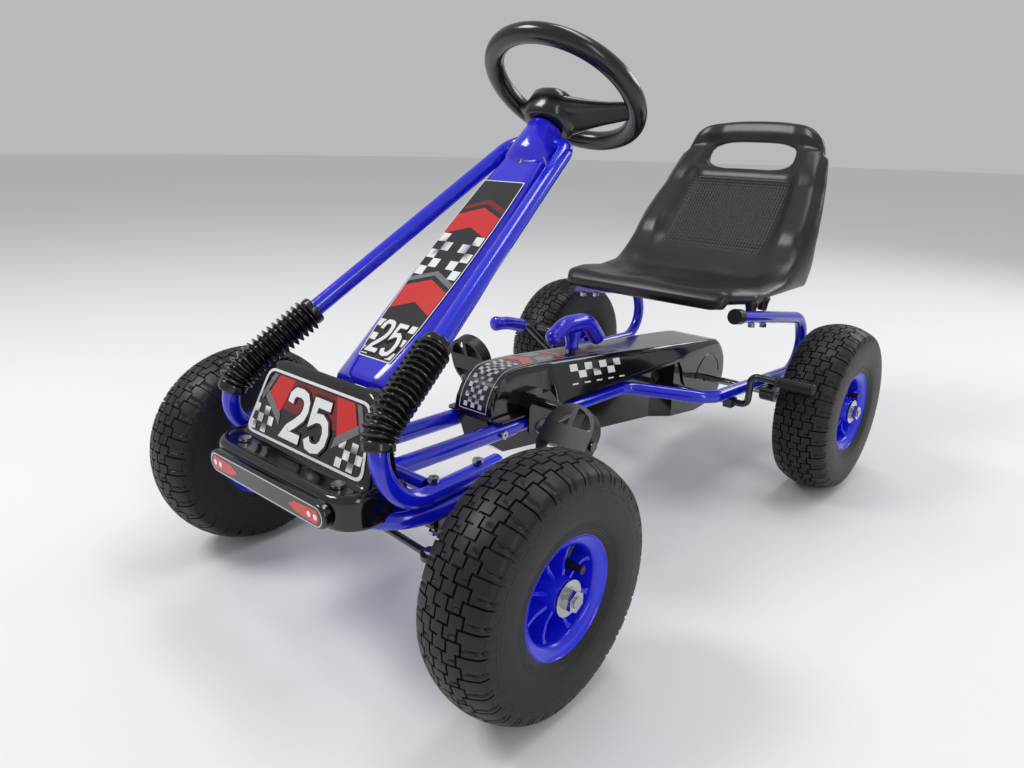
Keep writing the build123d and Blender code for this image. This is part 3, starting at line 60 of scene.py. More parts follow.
def middle(node):
    """The middle of a CAD node's box in millimetres."""
    low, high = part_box(node)
    return [(a + b) / 2 / MM for a, b in zip(low, high)]


FRONT_AXLE = middle("front_tyre_left")[1]
REAR_AXLE = middle("rear_tyre_left")[1]
AXLE_HEIGHT = middle("front_tyre_left")[2]
AXLES = {"front": FRONT_AXLE, "rear": REAR_AXLE}
TREAD_BLOCKS = 34
TRACKS = {"front": middle("front_tyre_left")[0], "rear": middle("rear_tyre_left")[0]}


def ahead(x, y, z):
    """A point in millimetres whose y counts from the front axle."""
    return Vector((x, y + FRONT_AXLE, z))


def behind(x, y, z):
    """A point in millimetres whose y counts from the rear axle."""
    return Vector((x, y + REAR_AXLE, z))


# ---------------------------------------------------------------- sizes and colours
class KartSizes(bpy.types.PropertyGroup):
    """Sizes of the detail that the CAD frame leaves to the moulded pieces."""
    tread_depth: bpy.props.FloatProperty(
        name="Tread depth", description="Depth of the grooves between the tread blocks",
        default=0.0036, min=0.0, max=0.006, unit="LENGTH")
    tread_pitches: bpy.props.IntProperty(
        name="Tread blocks", description="Blocks round each tyre", default=TREAD_BLOCKS, min=20, max=48)
    bellows_rings: bpy.props.IntProperty(
        name="Bellows rings", description="Rings of each rubber bellows", default=16, min=8, max=24)
    ring_depth: bpy.props.FloatProperty(
        name="Ring depth", description="How far a bellows ring stands out of its root",
        default=0.0056, min=0.001, max=0.008, unit="LENGTH")
    seat_rim: bpy.props.FloatProperty(
        name="Seat rim", description="Thickness of the rolled rim of the seat",
        default=0.022, min=0.012, max=0.03, unit="LENGTH")
    print_lift: bpy.props.FloatProperty(
        name="Print thickness", description="Thickness of each printed layer",
        default=0.00022, min=0.0001, max=0.0005, unit="LENGTH")


class KartColours(bpy.types.PropertyGroup):
    """Colours that a user would change."""
    tube_paint: bpy.props.FloatVectorProperty(
        name="Tube paint", description="Gloss paint of the frame tubes",
        subtype="COLOR", size=3, min=0.0, max=1.0, default=(0.006, 0.010, 0.62))
    blue_plastic: bpy.props.FloatVectorProperty(
        name="Blue plastic", description="Moulded covers and grips",
        subtype="COLOR", size=3, min=0.0, max=1.0, default=(0.018, 0.012, 0.60))
    rim_plastic: bpy.props.FloatVectorProperty(
        name="Rim plastic", description="Moulded wheel rims",
        subtype="COLOR", size=3, min=0.0, max=1.0, default=(0.010, 0.014, 0.72))
    print_red: bpy.props.FloatVectorProperty(
        name="Printed red", description="Red of the printed panels",
        subtype="COLOR", size=3, min=0.0, max=1.0, default=(0.60, 0.012, 0.010))
    floor: bpy.props.FloatVectorProperty(
        name="Floor", description="Studio floor and background",
        subtype="COLOR", size=3, min=0.0, max=1.0, default=(0.86, 0.86, 0.86))


# ---------------------------------------------------------------- shader sums
class Tone:
    """An output socket of a finish. Sums on it add Math nodes."""

    def __init__(self, finish, socket):
        self.finish = finish
        self.socket = socket

    def math(self, operation, *values):
        return self.finish.node("ShaderNodeMath", {"operation": operation}, dict(enumerate(values)))

    def __add__(self, other):
        return self.math("ADD", self, other)

    def __sub__(self, other):
        return self.math("SUBTRACT", self, other)

    def __mul__(self, other):
        return self.math("MULTIPLY", self, other)

    def __abs__(self):
        return self.math("ABSOLUTE", self)

    def sine(self):
        return self.math("SINE", self)

    def fraction(self):
        return self.math("FRACT", self)

    def angle_from(self, other):
        return self.math("ARCTAN2", self, other)

    def length_with(self, other):
        return self.math("SQRT", self * self + other * other)

    __radd__ = __add__


class Finish:
    """A procedural material and the nodes behind its surface shader."""

    def __init__(self, name):
        self.material = bpy.data.materials.new(name)
        self.material.use_nodes = True
        self.tree = self.material.node_tree
        self.tree.nodes.clear()
        self.shader = self.tree.nodes.new("ShaderNodeBsdfPrincipled")
        end = self.tree.nodes.new("ShaderNodeOutputMaterial")
        self.tree.links.new(self.shader.outputs[0], end.inputs["Surface"])
        self.place = self.node("ShaderNodeTexCoord", output="Object")

    def node(self, kind, settings=None, sockets=None, output=0):
        """Adds a node: its settings first, then the values or links of its sockets."""
        made = self.tree.nodes.new(kind)
        for name, value in (settings or {}).items():
            setattr(made, name, value)
        for name, value in (sockets or {}).items():
            self.join(made.inputs[name], value)
        return Tone(self, made.outputs[output])

    def join(self, socket, value):
        if isinstance(value, Tone):
            self.tree.links.new(value.socket, socket)
        else:
            socket.default_value = value

    def surface(self, **values):
        """Sets the shader's sockets, named with underscores for spaces."""
        for name, value in values.items():
            self.join(self.shader.inputs[name.replace("_", " ")], value)

    def noise(self, scale, detail=2.0, roughness=0.5, stretch=None):
        place = self.place
        if stretch:
            place = self.node("ShaderNodeMapping", None, {"Vector": place, "Scale": stretch})
        return self.node("ShaderNodeTexNoise", None, {
            "Vector": place, "Scale": scale, "Detail": detail, "Roughness": roughness})

    def mix(self, share, first, second):
        """A colour between two colours."""
        sockets = {0: share, 6: first, 7: second}
        return self.node("ShaderNodeMix", {"data_type": "RGBA"}, sockets, output=2)

    def smooth(self, value, low, high):
        """0 below low, 1 above high, with soft ends."""
        return self.node("ShaderNodeMapRange", {"interpolation_type": "SMOOTHSTEP"},
                         {"Value": value, "From Min": low, "From Max": high})

    def bump(self, height, distance):
        sockets = {"Height": height, "Distance": distance, "Strength": 1.0}
        return self.node("ShaderNodeBump", None, sockets)

    def axes(self):
        """The x, y and z of the place on the object, in metres."""
        split = self.tree.nodes.new("ShaderNodeSeparateXYZ")
        self.join(split.inputs[0], self.place)
        return [Tone(self, split.outputs[index]) for index in range(3)]


def shade(colour, share):
    """A colour scaled by share, with alpha."""
    return tuple(min(1.0, channel * share) for channel in colour[:3]) + (1.0,)


def moulded(name, colour, roughness, grain, depth, coat=0.0, wear=0.12):
    """Moulded plastic: slight colour drift, fine grain and faint scuffs."""
    finish = Finish(name)
    drift = finish.noise(9.0, 3.0)
    fine = finish.noise(grain, 2.0, 0.6)
    scuff = finish.smooth(finish.noise(46.0, 5.0, 0.75, (1.0, 0.35, 1.0)), 0.64, 0.80)
    body = finish.mix(drift, shade(colour, 0.88), shade(colour, 1.12))
    finish.surface(
        Base_Color=finish.mix(scuff * (wear * 0.2), body, shade((0.5, 0.5, 0.52), 1.0)),
        Roughness=roughness + (drift - 0.5) * 0.05 + (fine - 0.5) * 0.04 + scuff * (wear * 0.3),
        Normal=finish.bump(fine, depth),
        Coat_Weight=coat, Coat_Roughness=0.04, Specular_IOR_Level=0.5,
    )
    return finish.material


def gloss_paint(name, colour, roughness=0.2):
    """Powder coat with a faint orange peel and a clear layer."""
    finish = Finish(name)
    drift = finish.noise(6.0, 2.0)
    peel = finish.noise(520.0, 1.0)
    specks = finish.smooth(finish.noise(170.0, 3.0), 0.70, 0.80)
    body = finish.mix(drift, shade(colour, 0.88), shade(colour, 1.1))
    finish.surface(
        Base_Color=finish.mix(specks * 0.12, body, shade(colour, 2.2)),
        Roughness=roughness + (peel - 0.5) * 0.1 + specks * 0.1,
        Normal=finish.bump(peel, 0.00006),
        Coat_Weight=0.7, Coat_Roughness=0.06,
    )
    return finish.material


def plated(name, colour, roughness, streak=(1.0, 1.0, 1.0)):
    """Zinc plate or bare steel: soft clouds, fine brush lines and small dark spots."""
    finish = Finish(name)
    cloud = finish.noise(60.0, 4.0, 0.6)
    brush = finish.noise(900.0, 2.0, 0.5, streak)
    spots = finish.smooth(finish.noise(260.0, 3.0), 0.66, 0.8)
    body = finish.mix(cloud, shade(colour, 0.8), shade(colour, 1.12))
    finish.surface(
        Base_Color=finish.mix(spots * 0.5, body, shade(colour, 0.4)),
        Metallic=1.0,
        Roughness=roughness + (cloud - 0.5) * 0.16 + (brush - 0.5) * 0.12,
        Normal=finish.bump(brush, 0.00004),
    )
    return finish.material


def tyre_rubber(end, side):
    """Rubber with rings at the rim, outlined blocks on the shoulder whose grooves are also darkened as
    painted shade, and dust on the tread.
    """
    finish = Finish(f"tyre_rubber_{end}_{side}")
    _, y, z = finish.axes()
    forward = y - AXLES[end] * MM
    up = z - AXLE_HEIGHT * MM
    radius = forward.length_with(up)
    turn = up.angle_from(forward)
    phase = abs((turn * (TREAD_BLOCKS / (2 * math.pi)) + TREAD_BLOCKS).fraction() - 0.5)
    shoulder = abs(radius - 0.1095)
    inside = finish.smooth(phase, 0.35, 0.34) * finish.smooth(shoulder, 0.0066, 0.0062)
    deeper = finish.smooth(phase, 0.30, 0.29) * finish.smooth(shoulder, 0.0056, 0.0052)
    # The outline is a groove cut by the bump below; the base colour is also darkened there towards
    # near-black, as painted shade in the groove.
    outline = inside - deeper
    rings = (radius * 2600.0).sine() * finish.smooth(abs(radius - 0.071), 0.006, 0.004)
    ridge = finish.smooth(abs(radius - 0.0975), 0.0009, 0.0004)
    grain = finish.noise(600.0, 2.0, 0.6)
    dust = finish.noise(38.0, 5.0, 0.65)
    worn = finish.smooth(radius, 0.1235, 0.1285) * finish.smooth(dust, 0.35, 0.75)
    body = finish.mix(dust, (0.006, 0.006, 0.0065, 1.0), (0.012, 0.012, 0.0125, 1.0))
    body = finish.mix(worn * 0.4, body, (0.022, 0.022, 0.023, 1.0))
    finish.surface(
        # Painted shade: near-black colour in the shoulder outline grooves.
        Base_Color=finish.mix(outline * 0.6, body, (0.004, 0.004, 0.004, 1.0)),
        Roughness=0.36 + dust * 0.16 + worn * 0.08,
        Normal=finish.bump(rings * 0.5 + ridge * 0.6 + grain * 0.14 - outline * 3.2, 0.0005),
        Specular_IOR_Level=0.36,
    )
    return finish.material


def seat_plastic():
    """Satin blow-moulded plastic, smooth on the rim and finely chequered on the backrest."""
    finish = Finish("seat_plastic")
    x, _, z = finish.axes()
    weave = (x * 560.0 + z * 620.0).sine() * (x * 560.0 - z * 620.0).sine()
    sitting = finish.smooth(abs(x), 0.098, 0.088)
    back = finish.smooth(z, 0.338, 0.352) * finish.smooth(z, 0.462, 0.452)
    fine = finish.noise(1400.0, 2.0, 0.6)
    drift = finish.noise(11.0, 3.0)
    scuff = finish.smooth(finish.noise(34.0, 5.0, 0.72, (1.0, 0.4, 1.0)), 0.62, 0.8)
    body = finish.mix(drift, (0.007, 0.007, 0.0075, 1.0), (0.013, 0.013, 0.0135, 1.0))
    finish.surface(
        Base_Color=finish.mix(scuff * 0.05, body, (0.1, 0.1, 0.105, 1.0)),
        Roughness=0.28 + drift * 0.1 + sitting * back * 0.08 + scuff * 0.08,
        Normal=finish.bump(weave * sitting * back + fine * 0.08, 0.0008),
    )
    return finish.material


# Colour, or the name of one in KartColours, then roughness and what else each maker takes.
PAINTED = {
    "frame_paint": ("tube_paint", 0.17),
    "black_paint": ((0.007, 0.007, 0.0075), 0.24),
}
PLATED = {
    "zinc": ((0.44, 0.45, 0.47), 0.24),
    "washer_zinc": ((0.55, 0.56, 0.58), 0.2, (0.2, 1.0, 1.0)),
    "chain_steel": ((0.2, 0.19, 0.18), 0.42),
}
MOULDED = {
    "nylon": ((0.6, 0.58, 0.52), 0.45, 600.0, 0.00005),
    "gloss_black": ((0.0045, 0.0045, 0.005), 0.12, 420.0, 0.00002, 0.4),
    "gloss_blue": ("blue_plastic", 0.18, 460.0, 0.00002, 0.5),
    "rim_blue": ("rim_plastic", 0.24, 500.0, 0.00003, 0.3),
    "satin_black": ((0.0075, 0.0075, 0.008), 0.3, 1500.0, 0.00006),
    "wheel_black": ((0.006, 0.006, 0.0065), 0.2, 900.0, 0.00003, 0.2),
    "pedal_black": ((0.007, 0.007, 0.007), 0.36, 900.0, 0.0001),
    "boot_rubber": ((0.0045, 0.0045, 0.005), 0.2, 800.0, 0.00004, 0.2),
    "sleeve_rubber": ((0.010, 0.010, 0.0105), 0.45, 900.0, 0.0001),
    "print_white": ((0.80, 0.80, 0.79), 0.22, 300.0, 0.00001, 0.4, 0.02),
    "print_dark": ((0.007, 0.007, 0.009), 0.18, 300.0, 0.00001, 0.4, 0.05),
    "print_red": ("print_red", 0.22, 300.0, 0.00001, 0.4, 0.03),
    "print_deep_red": ((0.17, 0.005, 0.006), 0.2, 300.0, 0.00001, 0.4, 0.03),
    "print_grey": ((0.16, 0.16, 0.17), 0.22, 300.0, 0.00001, 0.4, 0.03),
}


class Finishes:
    """The kart's materials, made when first asked for."""
    made = {}

    @classmethod
    def get(cls, name):
        if name not in cls.made:
            cls.made[name] = cls.make(name)
        return cls.made[name]

    @staticmethod
    def make(name):
        if name == "seat_plastic":
            return seat_plastic()
        if name.startswith("tyre_rubber_"):
            return tyre_rubber(*name.split("_")[2:])
        for maker, table in ((gloss_paint, PAINTED), (plated, PLATED), (moulded, MOULDED)):
            if name in table:
                colour, *rest = table[name]
                if isinstance(colour, str):
                    colour = getattr(bpy.context.scene.kart_colours, colour)
                return maker(name, colour, *rest)
        raise KeyError(name)


# ---------------------------------------------------------------- mesh tools
class Shell:
    """Vertices in millimetres and faces with a finish each, turned into one piece at the end."""

    def __init__(self):
        self.points = []
        self.faces = []
        self.finishes = []

    def add(self, points, faces, finish):
        start = len(self.points)
        self.points.extend(tuple(point) for point in points)
        self.faces.extend([tuple(index + start for index in face) for face in faces])
        self.finishes.extend([finish] * len(faces))

    def loft(self, loops, finish, closed=True, caps=True):
        """Joins loops with the same number of points. Caps fill the first and last."""
        count = len(loops[0])
        points = [point for loop in loops for point in loop]
        faces = []
        for row in range(len(loops) - 1):
            for step in range(count if closed else count - 1):
                one = row * count + step
                two = row * count + (step + 1) % count
                faces.append((one, two, two + count, one + count))
        if caps and closed:
            faces.append(tuple(range(count - 1, -1, -1)))
            end = (len(loops) - 1) * count
            faces.append(tuple(range(end, end + count)))
        self.add(points, faces, finish)

    def sheet(self, loops, finish):
        """Joins open loops into a sheet."""
        self.loft(loops, finish, closed=False, caps=False)

    def turned(self, loops, finish, closed=True):
        """Joins loops round an axis, the last one back to the first."""
        self.loft(loops + loops[:1], finish, closed, caps=False)

    def finish(self, name, body, replaced=(), slot=None, smooth=40.0):
        """Makes the piece, lets it ride on its body and hides the nodes it stands for."""
        mesh = bpy.data.meshes.new(name)
        mesh.from_pydata([[c * MM for c in point] for point in self.points], [], self.faces)
        names = list(dict.fromkeys(self.finishes))
        for material in names:
            mesh.materials.append(Finishes.get(material))
        mesh.polygons.foreach_set("material_index", [names.index(used) for used in self.finishes])
        mesh.update()
        mesh.validate()
        made = placed(name, mesh)
        tidy_normals(made)
        mesh.shade_smooth()
        if smooth:
            mesh.set_sharp_from_angle(angle=math.radians(smooth))
        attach(made, body)
        if replaced:
            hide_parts(*replaced)
        return made

    def print_on(self, name, slot):
        """Makes a printed sheet on the chassis, with flat faces."""
        self.finish(name, "chassis", (), slot, 0)


def placed(name, data):
    """A new object in the scene's collection."""
    made = bpy.data.objects.new(name, data)
    bpy.context.scene.collection.objects.link(made)
    return made


def tidy_normals(made):
    """Merges doubled vertices and turns every face outward."""
    work = bmesh.new()
    work.from_mesh(made.data)
    bmesh.ops.remove_doubles(work, verts=work.verts, dist=0.000005)
    bmesh.ops.recalc_face_normals(work, faces=work.faces)
    work.to_mesh(made.data)
    work.free()


def rounded_path(points, radii, step=2.5):
    """Points along straight runs whose corners are arcs of the given radii."""
    points = [Vector(point) for point in points]
    path = [points[0]]
    for index in range(1, len(points) - 1):
        before = (points[index - 1] - points[index]).normalized()
        after = (points[index + 1] - points[index]).normalized()
        half = before.angle(after) / 2
        radius = radii[index - 1]
        reach = radius / math.tan(half)
        centre = points[index] + (before + after).normalized() * (radius / math.sin(half))
        start = points[index] + before * reach - centre
        end = points[index] + after * reach - centre
        sweep = start.angle(end)
        steps = max(4, int(sweep * radius / step))
        for part in range(steps + 1):
            share = part / steps
            path.append(centre + (start * math.sin((1 - share) * sweep)
                                  + end * math.sin(share * sweep)) / math.sin(sweep))
    path.append(points[-1])
    return path


def even_path(path, step):
    """The same path with points at an even spacing."""
    lengths = [0.0]
    for one, two in zip(path, path[1:]):
        lengths.append(lengths[-1] + (two - one).length)
    count = max(2, int(round(lengths[-1] / step)))
    spots = np.linspace(0, lengths[-1], count + 1)
    axes = [np.interp(spots, lengths, [point[axis] for point in path]) for axis in range(3)]
    return [Vector(spot) for spot in zip(*axes)], spots


def turns(count):
    """Even angles of a full turn."""
    return np.linspace(0, 2 * math.pi, count, endpoint=False)


def ring_along(path, radii, sides=32):
    """A loop of points round each point of a path, with no twist between them."""
    loops = []
    previous = None
    count = len(path)
    for index, point in enumerate(path):
        way = (path[min(index + 1, count - 1)] - path[max(index - 1, 0)]).normalized()
        if previous is None:
            hint = Vector((0, 0, 1)) if abs(way.z) < 0.9 else Vector((1, 0, 0))
            across = way.cross(hint).normalized()
        else:
            across = (previous - way * previous.dot(way)).normalized()
        previous = across
        up = way.cross(across)
        radius = radii[index]
        loops.append([point + across * (radius * math.cos(turn)) + up * (radius * math.sin(turn))
                      for turn in turns(sides)])
    return loops


def lathe(profile, centre, side=1, steps=96):
    """Loops of a profile of (x, radius) turned about a line along x through centre."""
    cx, cy, cz = centre
    return [[Vector((cx + side * x, cy + r * math.cos(turn), cz + r * math.sin(turn)))
             for x, r in profile] for turn in turns(steps)]


def soften(loop, times):
    """Cuts the corners of an open polyline and keeps its ends."""
    for _ in range(times):
        cut = []
        for one, two in zip(loop, loop[1:]):
            cut.append(tuple(a * 0.75 + b * 0.25 for a, b in zip(one, two)))
            cut.append(tuple(a * 0.25 + b * 0.75 for a, b in zip(one, two)))
        loop = [loop[0]] + cut[1:-1] + [loop[-1]]
    return loop


def smoothstep(value, low, high):
    share = min(1.0, max(0.0, (value - low) / (high - low)))
    return share * share * (3 - 2 * share)


def between(value, places, values):
    return float(np.interp(value, places, values))


def round_edges(node, width):
    """Rounds the sharp edges of a CAD node with a modifier, in more steps where they are wide."""
    bevel = node.modifiers.new("edge_radius", "BEVEL")
    bevel.width = width * MM
    bevel.segments = 3 if width > 1 else 2
    bevel.limit_method = "ANGLE"
    bevel.angle_limit = math.radians(40.0)
    bevel.harden_normals = False


def every_other(across, along):
    """The squares of one colour of a chequered grid, as (column, row)."""
    return [(column, row) for column in range(across) for row in range(along)
            if (column + row) % 2 == 0]


class Print:
    """Flat printed shapes, stacked in layers over a surface."""

    def __init__(self, place, lift):
        self.place = place
        self.lift = lift
        self.shell = Shell()

    def shape(self, outline, finish, layer, cuts=0.0):
        """Fills an outline of (u, v). With cuts it is split into strips along v, for a curved surface."""
        height = self.lift * layer
        if cuts:
            low = min(v for _, v in outline)
            high = max(v for _, v in outline)
            count = max(1, int((high - low) / cuts))
            self.shell.sheet([[self.place(u, v, height) for u in np.linspace(*crossing(outline, v), 7)]
                              for v in np.linspace(low, high, count + 1)], finish)
            return
        points = [self.place(u, v, height) for u, v in outline]
        self.shell.add(points, [tuple(range(len(points)))], finish)

    def checks(self, left, low, across, along, size, finish, layer):
        """Every other square of a grid."""
        for column, row in every_other(across, along):
            u, v = left + column * size, low + row * size
            corners = [(u, v), (u + size, v), (u + size, v + size), (u, v + size)]
            self.shape(corners, finish, layer)

    def stroke(self, points, width, finish, layer):
        """A line of even width with mitred corners."""
        points = [Vector(point) for point in points]
        left, right = [], []
        for index, point in enumerate(points):
            before = (point - points[index - 1]).normalized() if index else None
            after = (points[index + 1] - point).normalized() if index < len(points) - 1 else None
            way = ((before or after) + (after or before)).normalized()
            side = Vector((-way.y, way.x))
            reach = width / 2 / max(0.5, way.dot(after or before))
            left.append(point + side * reach)
            right.append(point - side * reach)
        for one in range(len(points) - 1):
            self.shape([left[one], left[one + 1], right[one + 1], right[one]], finish, layer)


def crossing(outline, v):
    """Where a level line enters and leaves an outline."""
    found = []
    count = len(outline)
    for index in range(count):
        (u1, v1), (u2, v2) = outline[index], outline[(index + 1) % count]
        if min(v1, v2) <= v <= max(v1, v2):
            found.append(u1 if v1 == v2 else u1 + (u2 - u1) * (v - v1) / (v2 - v1))
            if v1 == v2:
                found.append(u2)
    return (min(found), max(found))


def rounded_outline(corners, radius, steps=6):
    """A closed outline with its corners rounded."""
    loop = []
    count = len(corners)
    for index in range(count):
        corner = Vector(corners[index])
        before = (Vector(corners[index - 1]) - corner).normalized()
        after = (Vector(corners[(index + 1) % count]) - corner).normalized()
        for step in range(steps + 1):
            share = step / steps
            start = corner + before * radius
            end = corner + after * radius
            loop.append(tuple(start * (1 - share) ** 2 + corner * 2 * share * (1 - share)
                              + end * share ** 2))
    return loop


# ---------------------------------------------------------------- tyres and rims
GROOVE_LINES = ((5.5, 9.5), (19.0, 23.0))
TREAD_STEPS = (0.0, 0.03, 0.046, 0.12, 0.2, 0.28, 0.30, 0.36, 0.454, 0.47, 0.5, 0.53, 0.546, 0.62,
               0.7, 0.72, 0.78, 0.86, 0.954, 0.97)
SLOT_MARGIN = 0.8
CROWN_HALF = 34.8
CROWN_DROP = 9.1
TYRE_RADIUS = 130.0
SHOULDER_FOOT = 110.0


def tread_height(across, turn):
    """0 on a tread block and 1 in a groove, for a distance from the middle and an angle in blocks."""
    if across < 0:
        turn = (turn + 0.5) % 1.0
    side = abs(across)
    early = turn < 0.5

    def slot(centre):
        off = abs((turn - centre + 0.5) % 1.0 - 0.5)
        return 1 - smoothstep(off, 0.031, 0.045)

    (first_near, first_far), (second_near, second_far) = GROOVE_LINES
    groove = 0.0
    for near, far in GROOVE_LINES:
        line = near if early else far
        groove = max(groove, 1 - smoothstep(abs(side - line), 0.72, 1.08))
    if side < first_far + SLOT_MARGIN:
        groove = max(groove, slot(0.0))
    if first_near - SLOT_MARGIN < side < second_far + SLOT_MARGIN:
        groove = max(groove, slot(0.5))
    if side > second_near - SLOT_MARGIN:
        groove = max(groove, slot(0.0) * (1 - smoothstep(side, 39.5, 41.5)))
    middle_notch = abs(turn - 0.29) < 0.012 and 12.0 < side < 17.0
    shoulder_notch = abs(turn - 0.71) < 0.012 and 26.0 < side
    return max(groove, 0.55 if middle_notch or shoulder_notch else 0.0)


def tyre_shell(end, side, sizes):
    """A block tread tyre with rounded walls, bead to bead."""
    x_middle = SIDES[side] * TRACKS[end]
    y_middle = AXLES[end]
    outer = [(33.8, 59.2), (35.4, 60.2), (36.6, 61.6), (37.4, 64.2), (39.0, 67.5), (39.9, 70.6),
             (40.3, 71.2), (40.9, 74.0), (41.35, 78.0), (41.6, 79.4), (41.95, 86.0), (42.0, 94.0),
             (41.9, 99.5), (41.6, 103.6), (41.3, 107.0), (40.9, 110.5), (40.3, 113.6), (39.3, 116.4),
             (38.0, 118.4), (36.4, 119.9), (CROWN_HALF, TYRE_RADIUS - CROWN_DROP)]
    half = [0.0, 2.6]
    for lines in GROOVE_LINES:
        for line in lines:
            half += [line - 1.08, line - 0.72, line + 0.72, line + 1.08]
        last = lines[1]
        half += [last + 2.6, last + 5.2, last + 7.4] if last < 12 else [26.2, 29.4, 32.4]
    crown = [(x, TYRE_RADIUS - CROWN_DROP * (x / CROWN_HALF) ** 2)
             for x in list(reversed(half)) + [-x for x in half[1:]]]
    profile = outer + crown + [(-x, r) for x, r in reversed(outer)]
    pitches = sizes.tread_pitches
    depth = sizes.tread_depth / MM
    pattern = {turn: [depth * tread_height(x, turn) * smoothstep(r, SHOULDER_FOOT, SHOULDER_FOOT + 3.5)
                      if r > SHOULDER_FOOT else 0.0 for x, r in profile] for turn in TREAD_STEPS}
    shell = Shell()
    loops = []
    for pitch in range(pitches):
        for turn in TREAD_STEPS:
            angle = 2 * math.pi * (pitch + turn) / pitches
            cosine, sine = math.cos(angle), math.sin(angle)
            loop = []
            for (x, r), drop in zip(profile, pattern[turn]):
                share = smoothstep(abs(x), 33.0, 40.0)
                reach = r - drop * (1 - 0.6 * share)
                loop.append((x_middle + x - math.copysign(drop * share * 0.8, x),
                             y_middle + reach * cosine, AXLE_HEIGHT + reach * sine))
            loops.append(loop)
    shell.turned(loops, f"tyre_rubber_{end}_{side}", closed=False)
    return shell


def rim_shell(end, side):
    """A deep moulded rim: two rolled lips, a web with thin ribs and a long hub."""
    way = SIDES[side]
    centre = (way * TRACKS[end], AXLES[end], AXLE_HEIGHT)
    bore = 14.1 if end == "front" else 6.2
    shell = Shell()
    barrel = [(2.0, 46.4), (3.2, 47.6), (26.0, 48.0), (29.2, 49.0), (31.4, 51.4), (33.0, 55.4),
              (34.0, 58.2), (35.2, 59.6), (36.0, 60.2), (36.0, 61.2), (35.2, 61.7), (33.4, 61.4),
              (32.3, 59.8), (30.6, 54.0), (29.4, 51.5), (27.0, 51.0)]
    web = [(1.8, 47.5), (1.8, 22.0), (2.6, 19.6), (4.6, 18.3), (32.6, 17.2), (33.6, 16.6),
           (34.0, 15.8), (34.0, bore), (26.2, bore), (26.2, 7.6)]
    for half in (barrel, web):
        profile = half + [(-x, r) for x, r in reversed(half)]
        shell.turned(lathe(profile, centre, way), "rim_blue")
    for rib in range(8):
        angle = math.radians(22.5 + 45 * rib)
        out = Vector((0, math.cos(angle), math.sin(angle)))
        wide = Vector((0, -math.sin(angle), math.cos(angle)))
        loops = []
        for reach, tall, thick in ((16.5, 24.0, 2.6), (19.0, 23.6, 2.2), (30.0, 21.0, 1.9),
                                   (41.0, 21.4, 2.0), (45.6, 23.0, 2.3), (47.9, 25.6, 3.2)):
            corners = [(-tall, -thick), (tall, -thick), (tall, thick), (-tall, thick)]
            section = rounded_outline(corners, 0.8, 2)
            loops.append([Vector(centre) + out * reach + Vector((u, 0, 0)) + wide * v
                          for u, v in section])
        shell.loft(loops, "rim_blue")
    return shell


class KART_OT_wheels(bpy.types.Operator):
    """Makes the four tyres and rims"""
    bl_idname = "kart.wheels"
    bl_label = "Wheels"

    def execute(self, context):
        sizes = context.scene.kart_sizes
        for end in ("front", "rear"):
            for side in SIDES:
                body = f"front_wheel_{side}" if end == "front" else "rear_axle"
                tyre_shell(end, side, sizes).finish(
                    f"{end}_tyre_block_{side}", body, [f"{end}_tyre_{side}"], "tyre", 52.0)
                rim_shell(end, side).finish(
                    f"{end}_rim_moulding_{side}", body, [f"{end}_rim_{side}"], "gloss_blue", 38.0)
        return {"FINISHED"}


# ---------------------------------------------------------------- bellows
BEND_RADIUS = 48.0
BELLOWS_CREST = 19.4
BELLOWS_BORE = 10.4


class KART_OT_bellows(bpy.types.Operator):
    """Makes the ringed rubber bellows over the bends of the front tubes"""
    bl_idname = "kart.bellows"
    bl_label = "Bellows"

    def execute(self, context):
        sizes = context.scene.kart_sizes
        for name, side in SIDES.items():
            corner = ahead(side * 146.9, -194, 195)
            strut = (ahead(side * 46, 281, 513) - corner).normalized()
            leg = (ahead(side * 132, 70, 195) - corner).normalized()
            reach = BEND_RADIUS / math.tan(strut.angle(leg) / 2)
            ends = corner + strut * (reach + 96.0), corner + leg * (reach + 1.0)
            path = rounded_path([ends[0], corner, ends[1]], [BEND_RADIUS], 0.6)
            path, spots = even_path(path, 0.6)
            keep = [index for index, spot in enumerate(spots) if spot <= 131.0]
            path = [path[index] for index in keep]
            collar, total = 9.0, spots[keep[-1]]
            pitch = (total - 2 * collar) / sizes.bellows_rings
            root = BELLOWS_CREST - sizes.ring_depth / MM
            radii = []
            for index in keep:
                spot = spots[index]
                edge = min(spot, total - spot)
                if edge < collar:
                    radii.append(15.4 + 0.7 * smoothstep(edge, 0.0, 1.2)
                                 - 0.9 * smoothstep(edge, 6.0, 9.0))
                else:
                    share = ((spot - collar) / pitch) % 1.0
                    crest = 1 - abs(2 * share - 1)
                    swell = 0.35 * crest + 0.65 * smoothstep(crest, 0.1, 0.95)
                    radii.append(root + (BELLOWS_CREST - root) * swell)
            shell = Shell()
            rings = ring_along(path, radii, 44)
            first = ring_along(path[:2], [BELLOWS_BORE] * 2, 44)[0]
            last = [path[-1] + (p - path[-1]) * (BELLOWS_BORE / radii[-1]) for p in rings[-1]]
            shell.loft([first] + rings, "boot_rubber", caps=False)
            shell.loft([rings[-1], last], "boot_rubber", caps=False)
            shell.finish(f"bellows_rings_{name}", "chassis", [f"bellows_{name}"], "boot_rubber", 60.0)
        return {"FINISHED"}


# ---------------------------------------------------------------- steering column
COLUMN_TOP = ahead(0, 330, 581)
COLUMN_LEAN = math.radians(52.1)
COLUMN_WAY = Vector((0, math.cos(COLUMN_LEAN), math.sin(COLUMN_LEAN)))
COLUMN_SIDE = Vector((0, COLUMN_WAY.z, -COLUMN_WAY.y))


def on_wheel(x, y, z):
    """A place in the steering wheel's own axes: across, towards the driver's lap, up the column."""
    return COLUMN_TOP + Vector((x, 0, 0)) + COLUMN_SIDE * y + COLUMN_WAY * z


